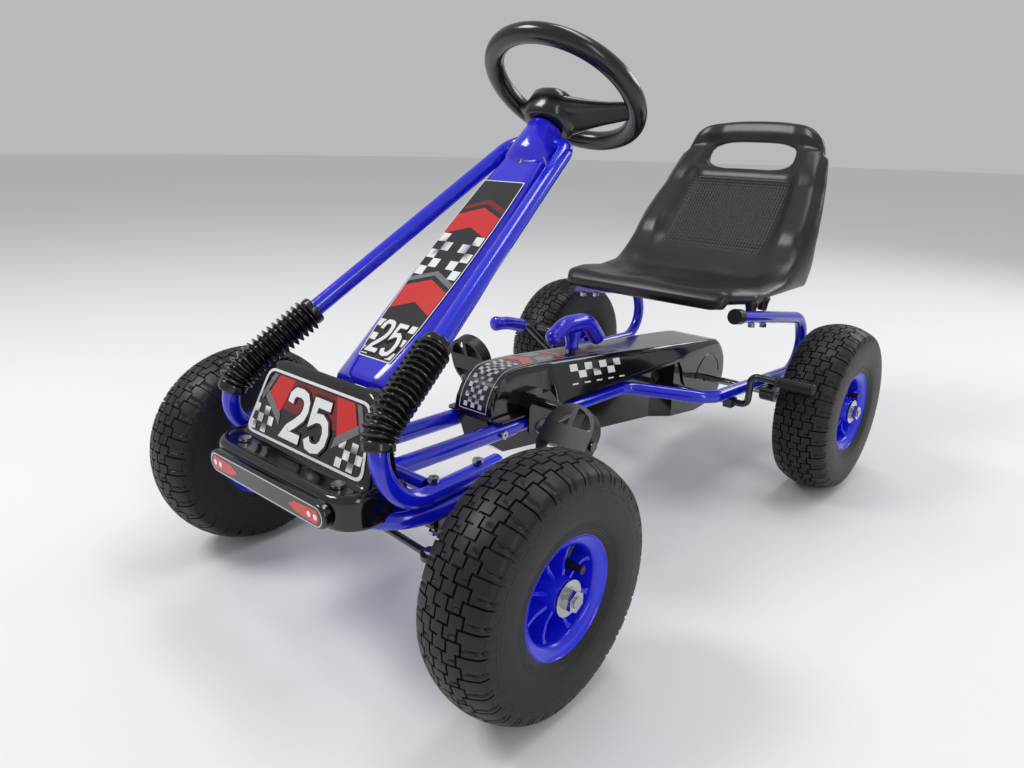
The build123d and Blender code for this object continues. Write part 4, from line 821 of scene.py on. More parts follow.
# ---------------------------------------------------------------- nose and bumper bar
def nose_section(z, front_y, half, radius):
    """An open outline at one height, from one back corner round the front to the other."""
    back = -50.0
    points = [(half, back), (half, front_y + radius + (back - front_y - radius) * 0.5)]
    for turn in np.linspace(0, math.pi / 2, 9):
        points.append((half - radius + radius * math.cos(turn),
                       front_y + radius - radius * math.sin(turn)))
    span = half - radius
    points += [(span * share, front_y) for share in (0.75, 0.5, 0.25, 0.0)]
    full = points + [(-x, y) for x, y in reversed(points[:-1])]
    return [ahead(x, y, z) for x, y in full]


BUMPER_HEIGHT = 191.0
# Height, front edge from the front axle, half width and corner radius.
NOSE_LEVELS = [
    (176.0, -120.6, 121.6, 32.0), (177.0, -122.2, 123.2, 33.0), (180.0, -123.0, 124.0, 34.0),
    (196.0, -123.0, 124.0, 34.0), (205.0, -122.8, 123.8, 33.8), (208.2, -121.6, 122.8, 33.0),
    (210.2, -119.4, 121.2, 31.5), (210.9, -116.8, 119.2, 30.0), (210.3, -114.4, 117.4, 28.5),
    (208.9, -112.8, 116.2, 27.5), (208.3, -110.6, 114.8, 26.0), (208.3, -95.0, 112.6, 14.0),
    (208.8, -91.4, 111.6, 10.0), (210.4, -88.4, 110.8, 8.0), (214.0, -85.66, 109.6, 7.0),
    (230.0, -79.3, 105.6, 6.0), (250.0, -71.35, 101.8, 6.0), (268.0, -64.19, 98.8, 6.0),
    (276.0, -61.01, 97.2, 6.2), (282.0, -58.63, 94.6, 7.0), (286.5, -56.6, 90.8, 8.0),
    (289.6, -54.6, 86.0, 9.0), (291.4, -52.4, 80.0, 10.0), (292.0, -50.6, 72.0, 8.0),
]


def on_nose_plate(u, v, lift):
    """A place on the leaning panel: u across, v up, both in millimetres."""
    slope = Vector((0, 33.0, 83.0)).normalized()
    out = Vector((0, -83.0, 33.0)).normalized()
    foot = ahead(0, -88.0, 209.0)
    spot = foot + slope * (v + 1.0) + out * (lift / MM + 0.5)
    return (u, spot.y, spot.z)


DIGITS = (
    [(0.02, 0.74), (0.06, 0.90), (0.22, 0.99), (0.55, 1.0), (0.80, 0.96), (0.94, 0.84),
     (0.96, 0.68), (0.86, 0.53), (0.55, 0.36), (0.20, 0.20), (0.06, 0.06), (0.98, 0.06)],
    [(0.94, 0.95), (0.14, 0.95), (0.10, 0.56), (0.30, 0.64), (0.60, 0.66), (0.84, 0.58),
     (0.96, 0.40), (0.92, 0.20), (0.74, 0.06), (0.44, 0.02), (0.18, 0.05), (0.03, 0.18)],
)


def kart_number(sheet, left, low, width, height, gap, weight, layer):
    """A plain number 25 with a dark edge round each digit."""
    for index, digit in enumerate(DIGITS):
        start = left + index * (width + gap)
        line = [(start + width * u, low + height * v) for u, v in digit]
        sheet.stroke(line, weight + 5.0, "print_dark", layer + index * 2)
        sheet.stroke(line, weight, "print_white", layer + 1 + index * 2)


def nose_print(lift):
    sheet = Print(on_nose_plate, lift)
    outer = [(-103, 3), (103, 3), (88, 78), (-88, 78)]
    inner = [(-98.4, 6), (98.4, 6), (84.6, 75), (-84.6, 75)]
    sheet.shape(rounded_outline(outer, 13), "print_white", 1)
    sheet.shape(rounded_outline(inner, 10.5), "print_dark", 2)
    middle_part = [(-62, 40), (62, 40), (70, 73), (-70, 73)]
    sheet.shape(rounded_outline(middle_part, 8), "print_deep_red", 3)
    for way in (-1, 1):
        sheet.shape([(way * 36, 73), (way * 64, 73), (way * 80, 46), (way * 52, 30)], "print_red", 4)
        sheet.shape([(way * 68, 73), (way * 75, 73), (way * 89, 48), (way * 86, 40)], "print_grey", 4)
        sheet.shape([(way * 48, 34), (way * 78, 54), (way * 81, 46), (way * 46, 22)], "print_grey", 5)
        sheet.checks(-95 if way < 0 else 57, 8.0, 4, 3, 9.5, "print_white", 5)
    kart_number(sheet, -35, 13, 30, 50, 10, 9.5, 7)
    return sheet.shell


def rim_outline(half, tall, steps=14):
    """A slot with round ends."""
    points = []
    for way, start in ((1, -90), (-1, 90)):
        for turn in np.linspace(start, start + 180, steps):
            angle = math.radians(turn)
            points.append((way * (half - tall) + tall * math.cos(angle), tall * math.sin(angle)))
    return points


class KART_OT_nose(bpy.types.Operator):
    """Makes the nose moulding with its printed panel, and the bumper bar with its strip"""
    bl_idname = "kart.nose"
    bl_label = "Nose and bumper bar"

    def execute(self, context):
        lift = context.scene.kart_sizes.print_lift
        nose = Shell()
        sections = [nose_section(*level) for level in NOSE_LEVELS]
        inner = [[point + Vector((0, 2.4, 0)) + Vector((-2.4 if point.x > 0 else 2.4, 0, -2.2))
                  for point in section] for section in sections]
        for loops in (sections, inner, [sections[0], inner[0]]):
            nose.sheet(loops, "gloss_black")
        nose.finish("nose_moulding", "chassis", ["nose"], "gloss_black", 48.0)
        nose_print(lift).print_on("nose_panel_print", "gloss_black")

        bar = Shell()
        levels = [(0.0, 0.0), (-5.6, 0.0), (-6.8, 0.3), (-7.7, 0.9), (-8.3, 1.6), (-8.5, 2.6)]
        loops = []
        for depth, inset in levels:
            outline = rim_outline(104.0 - inset, 13.0 - inset)
            loops.append([ahead(u, depth - 123.0, BUMPER_HEIGHT + v) for u, v in outline])
        bar.loft(loops, "gloss_black")
        bar.finish("bumper_bar_moulding", "chassis", ["bumper_bar"], "gloss_black", 50.0)

        def on_bar(u, v, height):
            return (u, FRONT_AXLE - 131.5 - height / MM - 0.06, BUMPER_HEIGHT + v)

        strip = Print(on_bar, lift)
        strip.shape(rim_outline(100.0, 10.2), "print_white", 1)
        strip.shape(rim_outline(99.0, 9.2), "print_dark", 2)
        for way in (-1, 1):
            light = [(46, 0), (58, 5.6), (92, 7.4), (96.5, 0), (92, -7.4), (58, -5.6)]
            strip.shape([(way * u, v) for u, v in light], "print_red", 3)
            for u in (80.0, 90.0):
                strip.shape([(way * u + 3.1 * math.cos(t), 3.1 * math.sin(t)) for t in turns(24)],
                            "print_white", 4)
        strip.shell.print_on("bumper_bar_print", "gloss_black")
        return {"FINISHED"}


# ---------------------------------------------------------------- column cover
COVER_FOOT = ahead(0, -10, 274)
COVER_HEAD = ahead(0, 247, 497)
COVER_RUN = (COVER_HEAD - COVER_FOOT).normalized()
COVER_BACK = Vector((0, COVER_RUN.z, -COVER_RUN.y))
COVER_LENGTH = (COVER_HEAD - COVER_FOOT).length
COLLAR_TOP, COLLAR_HEIGHT = -57.5, 52.0
# Share of the collar's height, then half its width and half its depth.
COLLAR_LEVELS = (
    (-0.3, 37.0, 2.0), (-0.12, 37.0, 13.0), (0.02, 36.0, 22.0), (0.25, 32.0, 24.5), (0.5, 27.5, 24.0),
    (0.75, 24.4, 22.6), (0.92, 23.2, 22.0), (0.985, 22.2, 21.4), (1.0, 20.6, 19.8), (1.0, 12.0, 12.0))


def cover_section(along, inset):
    """An open outline across the cover at a share of its length."""
    share = min(1.0, max(0.0, along))
    flat = cover_half(share * COVER_LENGTH) + 1.5 - inset * 0.8
    wide = between(share * COVER_LENGTH, [0, 160, 235, 309, 345], [62, 56, 49, 41, 37]) - inset
    deep = 29 + (20 - 29) * share
    slant = 17 + (11 - 17) * share + inset
    right = [(wide, deep), (wide, slant + 4), (wide - 3, slant - 2), (flat, inset), (flat * 0.4, inset)]
    corners = right + [(-x, back) for x, back in reversed(right)]
    base = COVER_FOOT + COVER_RUN * (along * COVER_LENGTH)
    return [base + Vector((x, 0, 0)) + COVER_BACK * back for x, back in soften(corners, 3)]


def on_cover(u, v, lift):
    """A place on the cover's flat front: u across, v along it from the foot, in millimetres."""
    return COVER_FOOT + COVER_RUN * v + Vector((u, 0, 0)) - COVER_BACK * (lift / MM + 0.25)


def cover_half(v):
    """Half the width of the cover's flat front at a length from its foot."""
    return between(v, [0, 22, 74, 160, 235, 309, 345], [20, 26, 34, 37.5, 37, 33, 28])


def cover_print(lift):
    """The printed strip of the cover: arrows, checks and a number."""
    sheet = Print(on_cover, lift)
    foot, top = 30.0, 306.0

    def side_checks(low, size, across, along):
        for way in (-1, 1):
            for column, row in every_other(across, along):
                v = low + row * size
                near, far = (way * (cover_half(at) - 3.4 - column * size) for at in (v, v + size))
                sheet.shape([(near, v), (near - way * size, v), (far - way * size, v + size),
                             (far, v + size)], "print_white", 4)

    for finish, layer, inset in (("print_white", 1, 0.6), ("print_dark", 2, 2.0)):
        rows = np.linspace(foot + inset, top - inset, 12)
        edge = [(cover_half(v) - inset, v) for v in rows]
        sheet.shape(rounded_outline(edge + [(-u, v) for u, v in reversed(edge)], 2.0, 3), finish, layer)
    for low, high, finish in ((98, 132, "print_red"), (138, 145, "print_grey"), (214, 246, "print_red"),
                              (252, 260, "print_deep_red")):
        for way in (-1, 1):
            ends = [(way * (cover_half(v) - 2.8), v) for v in (low, high)]
            sheet.shape([(0, low + 14), *ends, (0, high + 14)], finish, 3)
    side_checks(34.0, 9.5, 1, 6)
    side_checks(150.0, 13.0, 2, 5)
    kart_number(sheet, -19.5, 38, 16.5, 42, 6, 5.6, 5)
    return sheet.shell


class KART_OT_cover(bpy.types.Operator):
    """Makes the column cover with its printed strip and the collar under the steering wheel"""
    bl_idname = "kart.cover"
    bl_label = "Column cover"

    def execute(self, context):
        levels = [(0.0, 6.5), (0.004, 3.6), (0.011, 1.6), (0.022, 0.4), (0.035, 0.0)]
        levels += [(share, 0.0) for share in np.linspace(0.08, 1.0, 14)]
        levels += [(1.03, 0.5), (1.06, 2.0)]
        cover = Shell()
        outer = [cover_section(along, inset) for along, inset in levels]
        inner = [cover_section(along + 0.004, inset + 2.4) for along, inset in levels]
        foot = outer[0]
        centre = sum(foot, Vector()) / len(foot)
        lip = [foot, [centre + (p - centre) * 0.75 for p in foot]]
        for loops in (outer, inner, [foot, inner[0]], lip):
            cover.sheet(loops, "gloss_blue")
        cover.finish("cover_moulding", "chassis", ["fairing"], "gloss_blue", 50.0)
        cover_print(context.scene.kart_sizes.print_lift).print_on("cover_print", "gloss_blue")

        collar = Shell()
        loops = []
        for share, wide, deep in COLLAR_LEVELS:
            z = COLLAR_TOP - COLLAR_HEIGHT * (1 - share)
            loops.append([on_wheel(wide * math.cos(t), -deep * math.sin(t), z) for t in turns(48)])
        collar.loft(loops, "gloss_blue", caps=False)
        collar.finish("collar_moulding", "chassis", ["head_collar"], "gloss_blue", 50.0)
        return {"FINISHED"}


# ---------------------------------------------------------------- chain case
def arc_through(one, two, three, steps):
    """Points of the circle arc from one through two to three."""
    corners = (one, two, three)
    nexts, lasts = (two, three, one), (three, one, two)
    squares = [x * x + y * y for x, y in corners]
    scale = 2 * sum(p[0] * (n[1] - q[1]) for p, n, q in zip(corners, nexts, lasts))
    ux = sum(d * (n[1] - q[1]) for d, n, q in zip(squares, nexts, lasts)) / scale
    uy = sum(d * (q[0] - n[0]) for d, n, q in zip(squares, nexts, lasts)) / scale
    start, way, end = (math.atan2(y - uy, x - ux) for x, y in corners)
    turn = (end - start) % (2 * math.pi)
    if (way - start) % (2 * math.pi) > turn:
        turn -= 2 * math.pi
    radius = math.hypot(one[0] - ux, one[1] - uy)
    return [(ux + radius * math.cos(start + turn * s), uy + radius * math.sin(start + turn * s))
            for s in np.linspace(0, 1, steps)]


CASE_FRONT = FRONT_AXLE + 166
CRANK_Y = FRONT_AXLE + 244
SPLIT_FRONT = 187.6
CASE_HALF = 48.0
CASE_TOP = 247.0
CASE_FALL = 0.105
WALL_TOP = 248.5
WALL_START = 26.6
WALL_SLOPE = 2.86


def case_split(y):
    """Height of the edge between the two halves of the case."""
    return between(y, [CASE_FRONT, REAR_AXLE - 95, REAR_AXLE - 78, REAR_AXLE - 72],
                   [SPLIT_FRONT, 178.5, 132.0, 130.0])


def case_profile():
    """The case's side view from its front foot over the top to the back of the drum.

    Each spot is (y, z, length along the line, normal)."""
    top_y = FRONT_AXLE + 220
    rear_y = REAR_AXLE - 22
    rear_z = CASE_TOP - CASE_FALL * (rear_y - top_y)
    line = [(top_y - 54.0 * math.cos(turn), SPLIT_FRONT + 59.4 * math.sin(turn))
            for turn in np.linspace(0, math.pi / 2, 26)]
    fine = np.arange(top_y + 3, FRONT_AXLE + 292, 3.0)
    coarse = np.linspace(FRONT_AXLE + 296, rear_y, 40)
    line += [(y, CASE_TOP - CASE_FALL * (y - top_y)) for y in list(fine) + list(coarse)]
    line += [(rear_y + 14, rear_z - 1.6), (rear_y + 28, rear_z - 3.0), (rear_y + 40, rear_z - 4.8)]
    drum = arc_through((REAR_AXLE + 30, AXLE_HEIGHT + 62), (REAR_AXLE + 66, AXLE_HEIGHT + 6),
                       (REAR_AXLE + 34, AXLE_HEIGHT - 50), 36)
    line += [point for point in drum if point[1] > AXLE_HEIGHT - 1.0]
    result = []
    length = 0.0
    for index, (y, z) in enumerate(line):
        if index:
            length += math.hypot(y - line[index - 1][0], z - line[index - 1][1])
        one, two = line[max(0, index - 1)], line[min(len(line) - 1, index + 1)]
        size = math.hypot(two[0] - one[0], two[1] - one[1])
        result.append((y, z, length, (-(two[1] - one[1]) / size, (two[0] - one[0]) / size)))
    return result


CASE_LINE = case_profile()
DRUM_RIDGE = ((44.0, 0.0), (42.8, 1.6), (41.0, 2.4), (39.2, 1.6), (38.0, 0.0))


def soft_min(one, two, blend):
    """The lower of two values, with a round change from one to the other."""
    share = min(1.0, max(0.0, 0.5 + 0.5 * (two - one) / blend))
    return two * (1 - share) + one * share - blend * share * (1 - share)


def case_limit(x, y):
    """Height of the leaning side wall at x from the middle, with the hollow beside the crank."""
    lean = WALL_TOP - max(0.0, x - WALL_START) * WALL_SLOPE
    steep = 244.0 - max(0.0, x - 29.0) * 16.0
    hollow = 1 - smoothstep(y - CRANK_Y, 25.0, 41.0)
    return max(lean * (1 - hollow) + min(lean, steep) * hollow, case_split(y) + 2.0)


def case_point(spot, x):
    """A point of the case's skin at a spot of its side view and a distance from the middle."""
    y, z, _, (normal_y, normal_z) = spot
    over = abs(x) - 40.0
    inset = 8.0 - math.sqrt(max(0.0, 64.0 - over * over)) if over > 0 else 0.0
    high = soft_min(z - inset * normal_z, case_limit(abs(x), y), 5.0)
    return (x, y - inset * normal_y, max(high, case_split(y)))


def on_case_top(u, v, lift):
    """A place on the top strip: u across, v along the side view from the front foot."""
    rows = [(y, z, *normal) for y, z, _, normal in CASE_LINE]
    spots = [spot[2] for spot in CASE_LINE]
    y, z, normal_y, normal_z = (between(v, spots, values) for values in zip(*rows))
    x, y, z = case_point((y, z, v, (normal_y, normal_z)), u)
    lift = lift / MM + 0.35
    return (x, y + normal_y * lift, z + normal_z * lift)


def on_case_side(way):
    """Places on a leaning side wall: u along it from the front axle, v up."""
    def place(u, v, lift):
        out = lift / MM + 0.5
        return (way * (WALL_START + (WALL_TOP - v) / WALL_SLOPE + out * 0.944), FRONT_AXLE + u,
                v + out * 0.33)
    return place


TOP_SHAPES = (
    ("print_red", 3, [(0, 122), (20, 108), (20, 130), (0, 144)]),
    ("print_grey", 3, [(3, 150), (20, 140), (20, 176), (8, 182)]),
    ("print_red", 3, [(0, 196), (20, 184), (20, 196), (0, 208)]),
    ("print_deep_red", 3, [(3, 240), (20, 252), (20, 300), (3, 318)]),
    ("print_grey", 4, [(8, 258), (18, 262), (18, 290), (8, 300)]),
)


def case_top_print(lift):
    top = Print(on_case_top, lift)
    start, end = 7.0, 330.0
    for half, inset, finish, layer in ((23.6, 0.0, "print_white", 1), (22.4, 1.2, "print_dark", 2)):
        low, high = start + inset, end - inset
        top.shape([(-half, low), (half, low), (half, high), (-half, high)], finish, layer, 4.0)
    top.checks(-15.75, start + 4, 5, 15, 6.3, "print_white", 4)
    for way in (-1, 1):
        for finish, layer, outline in TOP_SHAPES:
            top.shape([(way * u, v) for u, v in outline], finish, layer)
    return top.shell


def case_side_print(way, lift):
    """Two rows of checks and a dashed line that follow the case's falling top edge."""
    side = Print(on_case_side(way), lift)

    def tile(u, drop, long, tall):
        near, far = (CASE_TOP - CASE_FALL * (at - 220.0) - 7.0 - drop for at in (u, u + long))
        side.shape([(u, near), (u + long, far), (u + long, far - tall), (u, near - tall)],
                   "print_white", 1)

    for column, row in every_other(7, 2):
        tile(320.0 + 16.5 * column, 9.4 * row, 16.5, 9.4)
    for step in range(5):
        tile(318.0 + step * 27.0, 25.0, 13.0, 1.9)
    return side.shell


class KART_OT_case(bpy.types.Operator):
    """Makes the upper half of the chain case with its printed strips"""
    bl_idname = "kart.case"
    bl_label = "Chain case"

    def execute(self, context):
        half = [0, 6, 12, 17, 20, 22.5, 24.5, 26, 27, 28, 29, 30, 31, 32, 33, 34.5, 36.5, 39, 41, 43,
                44.8, 46.2, 47.2, 47.8, CASE_HALF]
        columns = [-x for x in reversed(half[1:])] + half
        case = Shell()
        loops = [[case_point(spot, x) for spot in CASE_LINE] for x in columns]
        skirt = [[(way * CASE_HALF, y, min(case_split(spot[0]), z))
                  for spot, (_, y, z) in zip(CASE_LINE, loop)]
                 for way, loop in ((-1, loops[0]), (1, loops[-1]))]
        case.sheet([skirt[0]] + loops + [skirt[1]], "gloss_black")
        for way in (-1, 1):
            ring = []
            for turn in np.linspace(8, 172, 40):
                angle = math.radians(turn)
                ring.append([(way * (47.0 + out), REAR_AXLE + reach * math.cos(angle),
                              AXLE_HEIGHT + reach * math.sin(angle)) for reach, out in DRUM_RIDGE])
            case.sheet(ring, "gloss_black")
        case.finish("case_moulding", "chassis", ["case_top"], "gloss_black", 50.0)
        lift = context.scene.kart_sizes.print_lift
        case_top_print(lift).print_on("case_top_print", "gloss_black")
        for name, way in (("right", -1), ("left", 1)):
            case_side_print(way, lift).print_on(f"case_side_print_{name}", "gloss_black")
        return {"FINISHED"}


# ---------------------------------------------------------------- steering wheel
# Across, towards the driver, up the column, half width and half thickness, from the ring to the hub.
SPOKE = [
    (92, 33, -2, 11, 5.0), (86, 31, -4, 13, 6.0), (78, 28, -8, 14.5, 6.8), (68, 24, -13, 16, 7.6),
    (57, 19, -18, 18, 9.0), (45, 13, -24, 21, 11.0), (33, 7, -30, 25, 13.5), (22, 3, -34, 29, 15.5),
    (11, 1, -36, 32, 16.5), (0, 0, -36.5, 32, 17.0)]
HUB = [(8.6, -55.5), (26.0, -55.5), (28.4, -54.4), (30.5, -50.0), (32.0, -44.0), (32.5, -30.0),
       (31.5, -22.0), (28.6, -18.6), (25.6, -18.0), (25.0, -19.0), (8.6, -19.2)]
CAP = [(0.4, -11.0), (8.0, -11.2), (15.0, -11.9), (20.0, -13.2), (23.2, -15.4), (24.4, -18.8),
       (0.4, -18.8)]


def squared(reach, part, power):
    """A circle's sine or cosine scaled by reach, pushed out towards a rounded square."""
    return reach * math.copysign(abs(part) ** power, part)


def hub_loops(profile, corner_from, power=0.82):
    """Loops of (radius, height) round the column, squared from a radius on."""
    loops = []
    for t in turns(64):
        loop = []
        for r, z in profile:
            bend = 1.0 if r < corner_from else power
            loop.append(on_wheel(squared(r, math.cos(t), bend), squared(r, math.sin(t), bend), z))
        loops.append(loop)
    return loops


class KART_OT_steering(bpy.types.Operator):
    """Makes the steering wheel's ring, spokes and hub"""
    bl_idname = "kart.steering"
    bl_label = "Steering wheel"

    def execute(self, context):
        wheel = Shell()
        loops = []
        for turn in turns(144):
            loop = []
            for angle in turns(28):
                back = 12.8 if math.sin(angle) > 0 else 11.6
                reach = 98.0 + 12.6 * math.cos(angle)
                loop.append(on_wheel(reach * math.cos(turn), reach * math.sin(turn),
                                     back * math.sin(angle)))
            loops.append(loop)
        wheel.turned(loops, "wheel_black")
        line = [(-x, *rest) for x, *rest in SPOKE] + list(reversed(SPOKE[:-1]))
        loops = []
        for x, y, z, wide, thick in line:
            loops.append([on_wheel(x, y + squared(wide, math.cos(angle), 0.8),
                                   z + squared(thick, math.sin(angle), 0.8)) for angle in turns(32)])
        wheel.loft(loops, "wheel_black")
        wheel.turned(hub_loops(HUB, 22.0), "wheel_black")
        wheel.finish("steering_wheel_moulding", "steering", ["steering_wheel"], "satin_black", 45.0)
        cap = Shell()
        cap.turned(hub_loops(CAP, 50.0), "gloss_blue")
        cap.finish("steering_cap_moulding", "steering", ["steering_cap"], "gloss_blue", 50.0)
        return {"FINISHED"}


# ---------------------------------------------------------------- grips and sleeves
def grip(path, radii):
    """A moulded grip round a path, closed at both ends."""
    shell = Shell()
    shell.loft(ring_along(path, radii), "gloss_blue")
    return shell


def dome(spot, total, reach):
    """The share of a grip's radius at a spot, which falls to a round end at both ends."""
    end = min(spot, total - spot)
    return math.sqrt(max(0.001, 1 - (1 - min(1.0, end / reach)) ** 2.4))


class KART_OT_grips(bpy.types.Operator):
    """Makes the shift grip, the brake grip and the ribbed brake sleeves"""
    bl_idname = "kart.grips"
    bl_label = "Grips and sleeves"

    def execute(self, context):
        corners = ((318, 256.5), (350, 274.5), (402, 272.0), (436, 236.5))
        path = rounded_path([ahead(0, y, z) for y, z in corners], [46, 44], 1.0)
        path, spots = even_path(path, 1.0)
        total = spots[-1]
        radii = []
        for spot in spots:
            body = (11.4 + 1.2 * smoothstep(spot, total * 0.1, total * 0.45)
                    - 0.8 * smoothstep(spot, total * 0.6, total))
            radii.append(max(0.3, body * dome(spot, total, 9.0)))
        shell = grip(path, radii)
        stem = [ahead(0, 370, z) for z in (236.5, 237.5, 241, 248, 256, 264)]
        shell.loft(ring_along(stem, [9.0, 9.8, 9.4, 9.6, 11.6, 15.0]), "gloss_blue")
        shell.finish("shift_grip_moulding", "shift_lever", ["shift_grip"], "gloss_blue", 55.0)

        corners = ((-219, 217.5), (-258, 228.4), (-292, 232.6))
        path = rounded_path([behind(-190, y, z) for y, z in corners], [60], 0.8)
        path, spots = even_path(path, 0.8)
        total = spots[-1]
        radii = []
        for spot in spots:
            collar = 2.2 * (1 - smoothstep(abs(spot - 3.0), 1.4, 3.2))
            swell = 1.2 * smoothstep(spot, total * 0.72, total * 0.92)
            radii.append((10.8 + collar + swell) * dome(spot, total, 7.0))
        grip(path, radii).finish("brake_grip_moulding", "brake", ["brake_grip"], "gloss_blue", 55.0)

        sleeves = Shell()
        for side in SIDES.values():
            profile = [(225.0, 5.1), (225.0, 7.2), (225.8, 8.4), (228.0, 8.4), (228.8, 7.4)]
            for x in np.arange(230.5, 278.0, 3.4):
                profile += [(x, 7.0), (x + 0.7, 8.0), (x + 1.9, 8.0), (x + 2.6, 7.0)]
            profile += [(279.5, 8.0), (281.6, 7.4), (282.7, 5.6), (283.0, 2.6), (283.0, 0.4)]
            loops = lathe(profile, (0, REAR_AXLE - 136, 194), side, 40)
            sleeves.turned(loops, "sleeve_rubber", closed=False)
        sleeves.finish("brake_sleeve_ribs", "brake", ["brake_sleeves"], "boot_rubber", 50.0)
        return {"FINISHED"}


# ---------------------------------------------------------------- seat
SEAT_SIDE = [(-163, 295), (-152, 310), (-60, 300), (6, 306), (72, 352), (150, 440), (190, 505),
             (209, 552)]
SEAT_WIDTHS = ([-165, -150, -120, -90, 40, 78, 104, 130, 160, 190, 205, 212],
               [139, 147, 154, 160, 162, 164, 163, 157, 147, 134, 128, 124])
HANDLE_HALF = 82.0
HANDLE_TALL = 28.0
HANDLE_HEIGHT = 495.0
HANDLE_POWER = 3.4
BEND_PLACE = 225.0
SHEET_DEPTH = 11.0
SEAT_POST = ((275.6, 7.0), (277.0, 7.4), (284.0, 8.0), (291.0, 10.0), (297.0, 13.0))


def seat_half(y):
    """Half the seat's width at a distance behind the rear axle."""
    return between(y, *SEAT_WIDTHS)


def seat_height(y, z, across):
    """How far the surface stands off the seat's middle sheet, at a share of its half width."""
    side = abs(across)
    back = smoothstep(z, 318, 372)
    lap = (1 - smoothstep(z, 306, 330)) * smoothstep(y, -158, -120)
    thigh = math.exp(-((side - 0.46) / 0.2) ** 2)
    crown = math.exp(-(side / 0.13) ** 2)
    front = 1 - smoothstep(y, -150, -40)
    height = 6.0 - lap * (7.0 * thigh * (0.35 + 0.65 * front)) + lap * front * 4.0 * crown
    height += lap * 5.0 * smoothstep(side, 0.68, 0.84) * (1 - smoothstep(side, 0.9, 1.0))
    bolster = smoothstep(side, 0.58, 0.74) * (1 - smoothstep(side, 0.88, 1.0) * 0.75)
    height += back * (15.0 * bolster * (1 - smoothstep(z, 455, 520) * 0.75)
                      - 3.0 * (1 - smoothstep(side, 0.5, 0.62)))
    height += 6.5 * smoothstep(z, 517, 536) * (1 - smoothstep(side, 0.8, 1.0))
    fold = smoothstep(z, 448, 462) * (1 - smoothstep(z, 466, 478))
    return height + 4.0 * fold * (1 - smoothstep(side, 0.5, 0.75))


def corner_drop(side):
    """How far the top edge falls away towards a rounded corner, as a share."""
    return (1.0 - math.sqrt(max(0.0, 1.0 - side ** 3.6))) * 0.85 + 0.14 * side ** 2


def seat_thickness(y, z, across, rim):
    """Thickness of the hollow shell: thin in the middle, deep at the rolled rim."""
    side = abs(across)
    edge = smoothstep(side, 0.80, 0.95)
    lip = 1 - smoothstep(y, -158, -128)
    top = smoothstep(z, 520, 540)
    deep = (SHEET_DEPTH + (rim - SHEET_DEPTH) * max(edge, top)
            + (rim + 8.0 - SHEET_DEPTH) * lip * (1 - edge))
    slim = smoothstep(z, 395, 515)
    return deep * (1 - slim) + min(deep, seat_height(y, z, across) + 4.8) * slim


def handle_reach(x, along):
    """How far a point lies from the handle's middle: 1 on the edge of the opening."""
    power = HANDLE_POWER
    return ((abs(x) / HANDLE_HALF) ** power + (abs(along) / HANDLE_TALL) ** power) ** (1 / power)


def way_along(path, index):
    """The direction of a path at one of its points."""
    return (path[min(len(path) - 1, index + 1)] - path[max(0, index - 1)]).normalized()


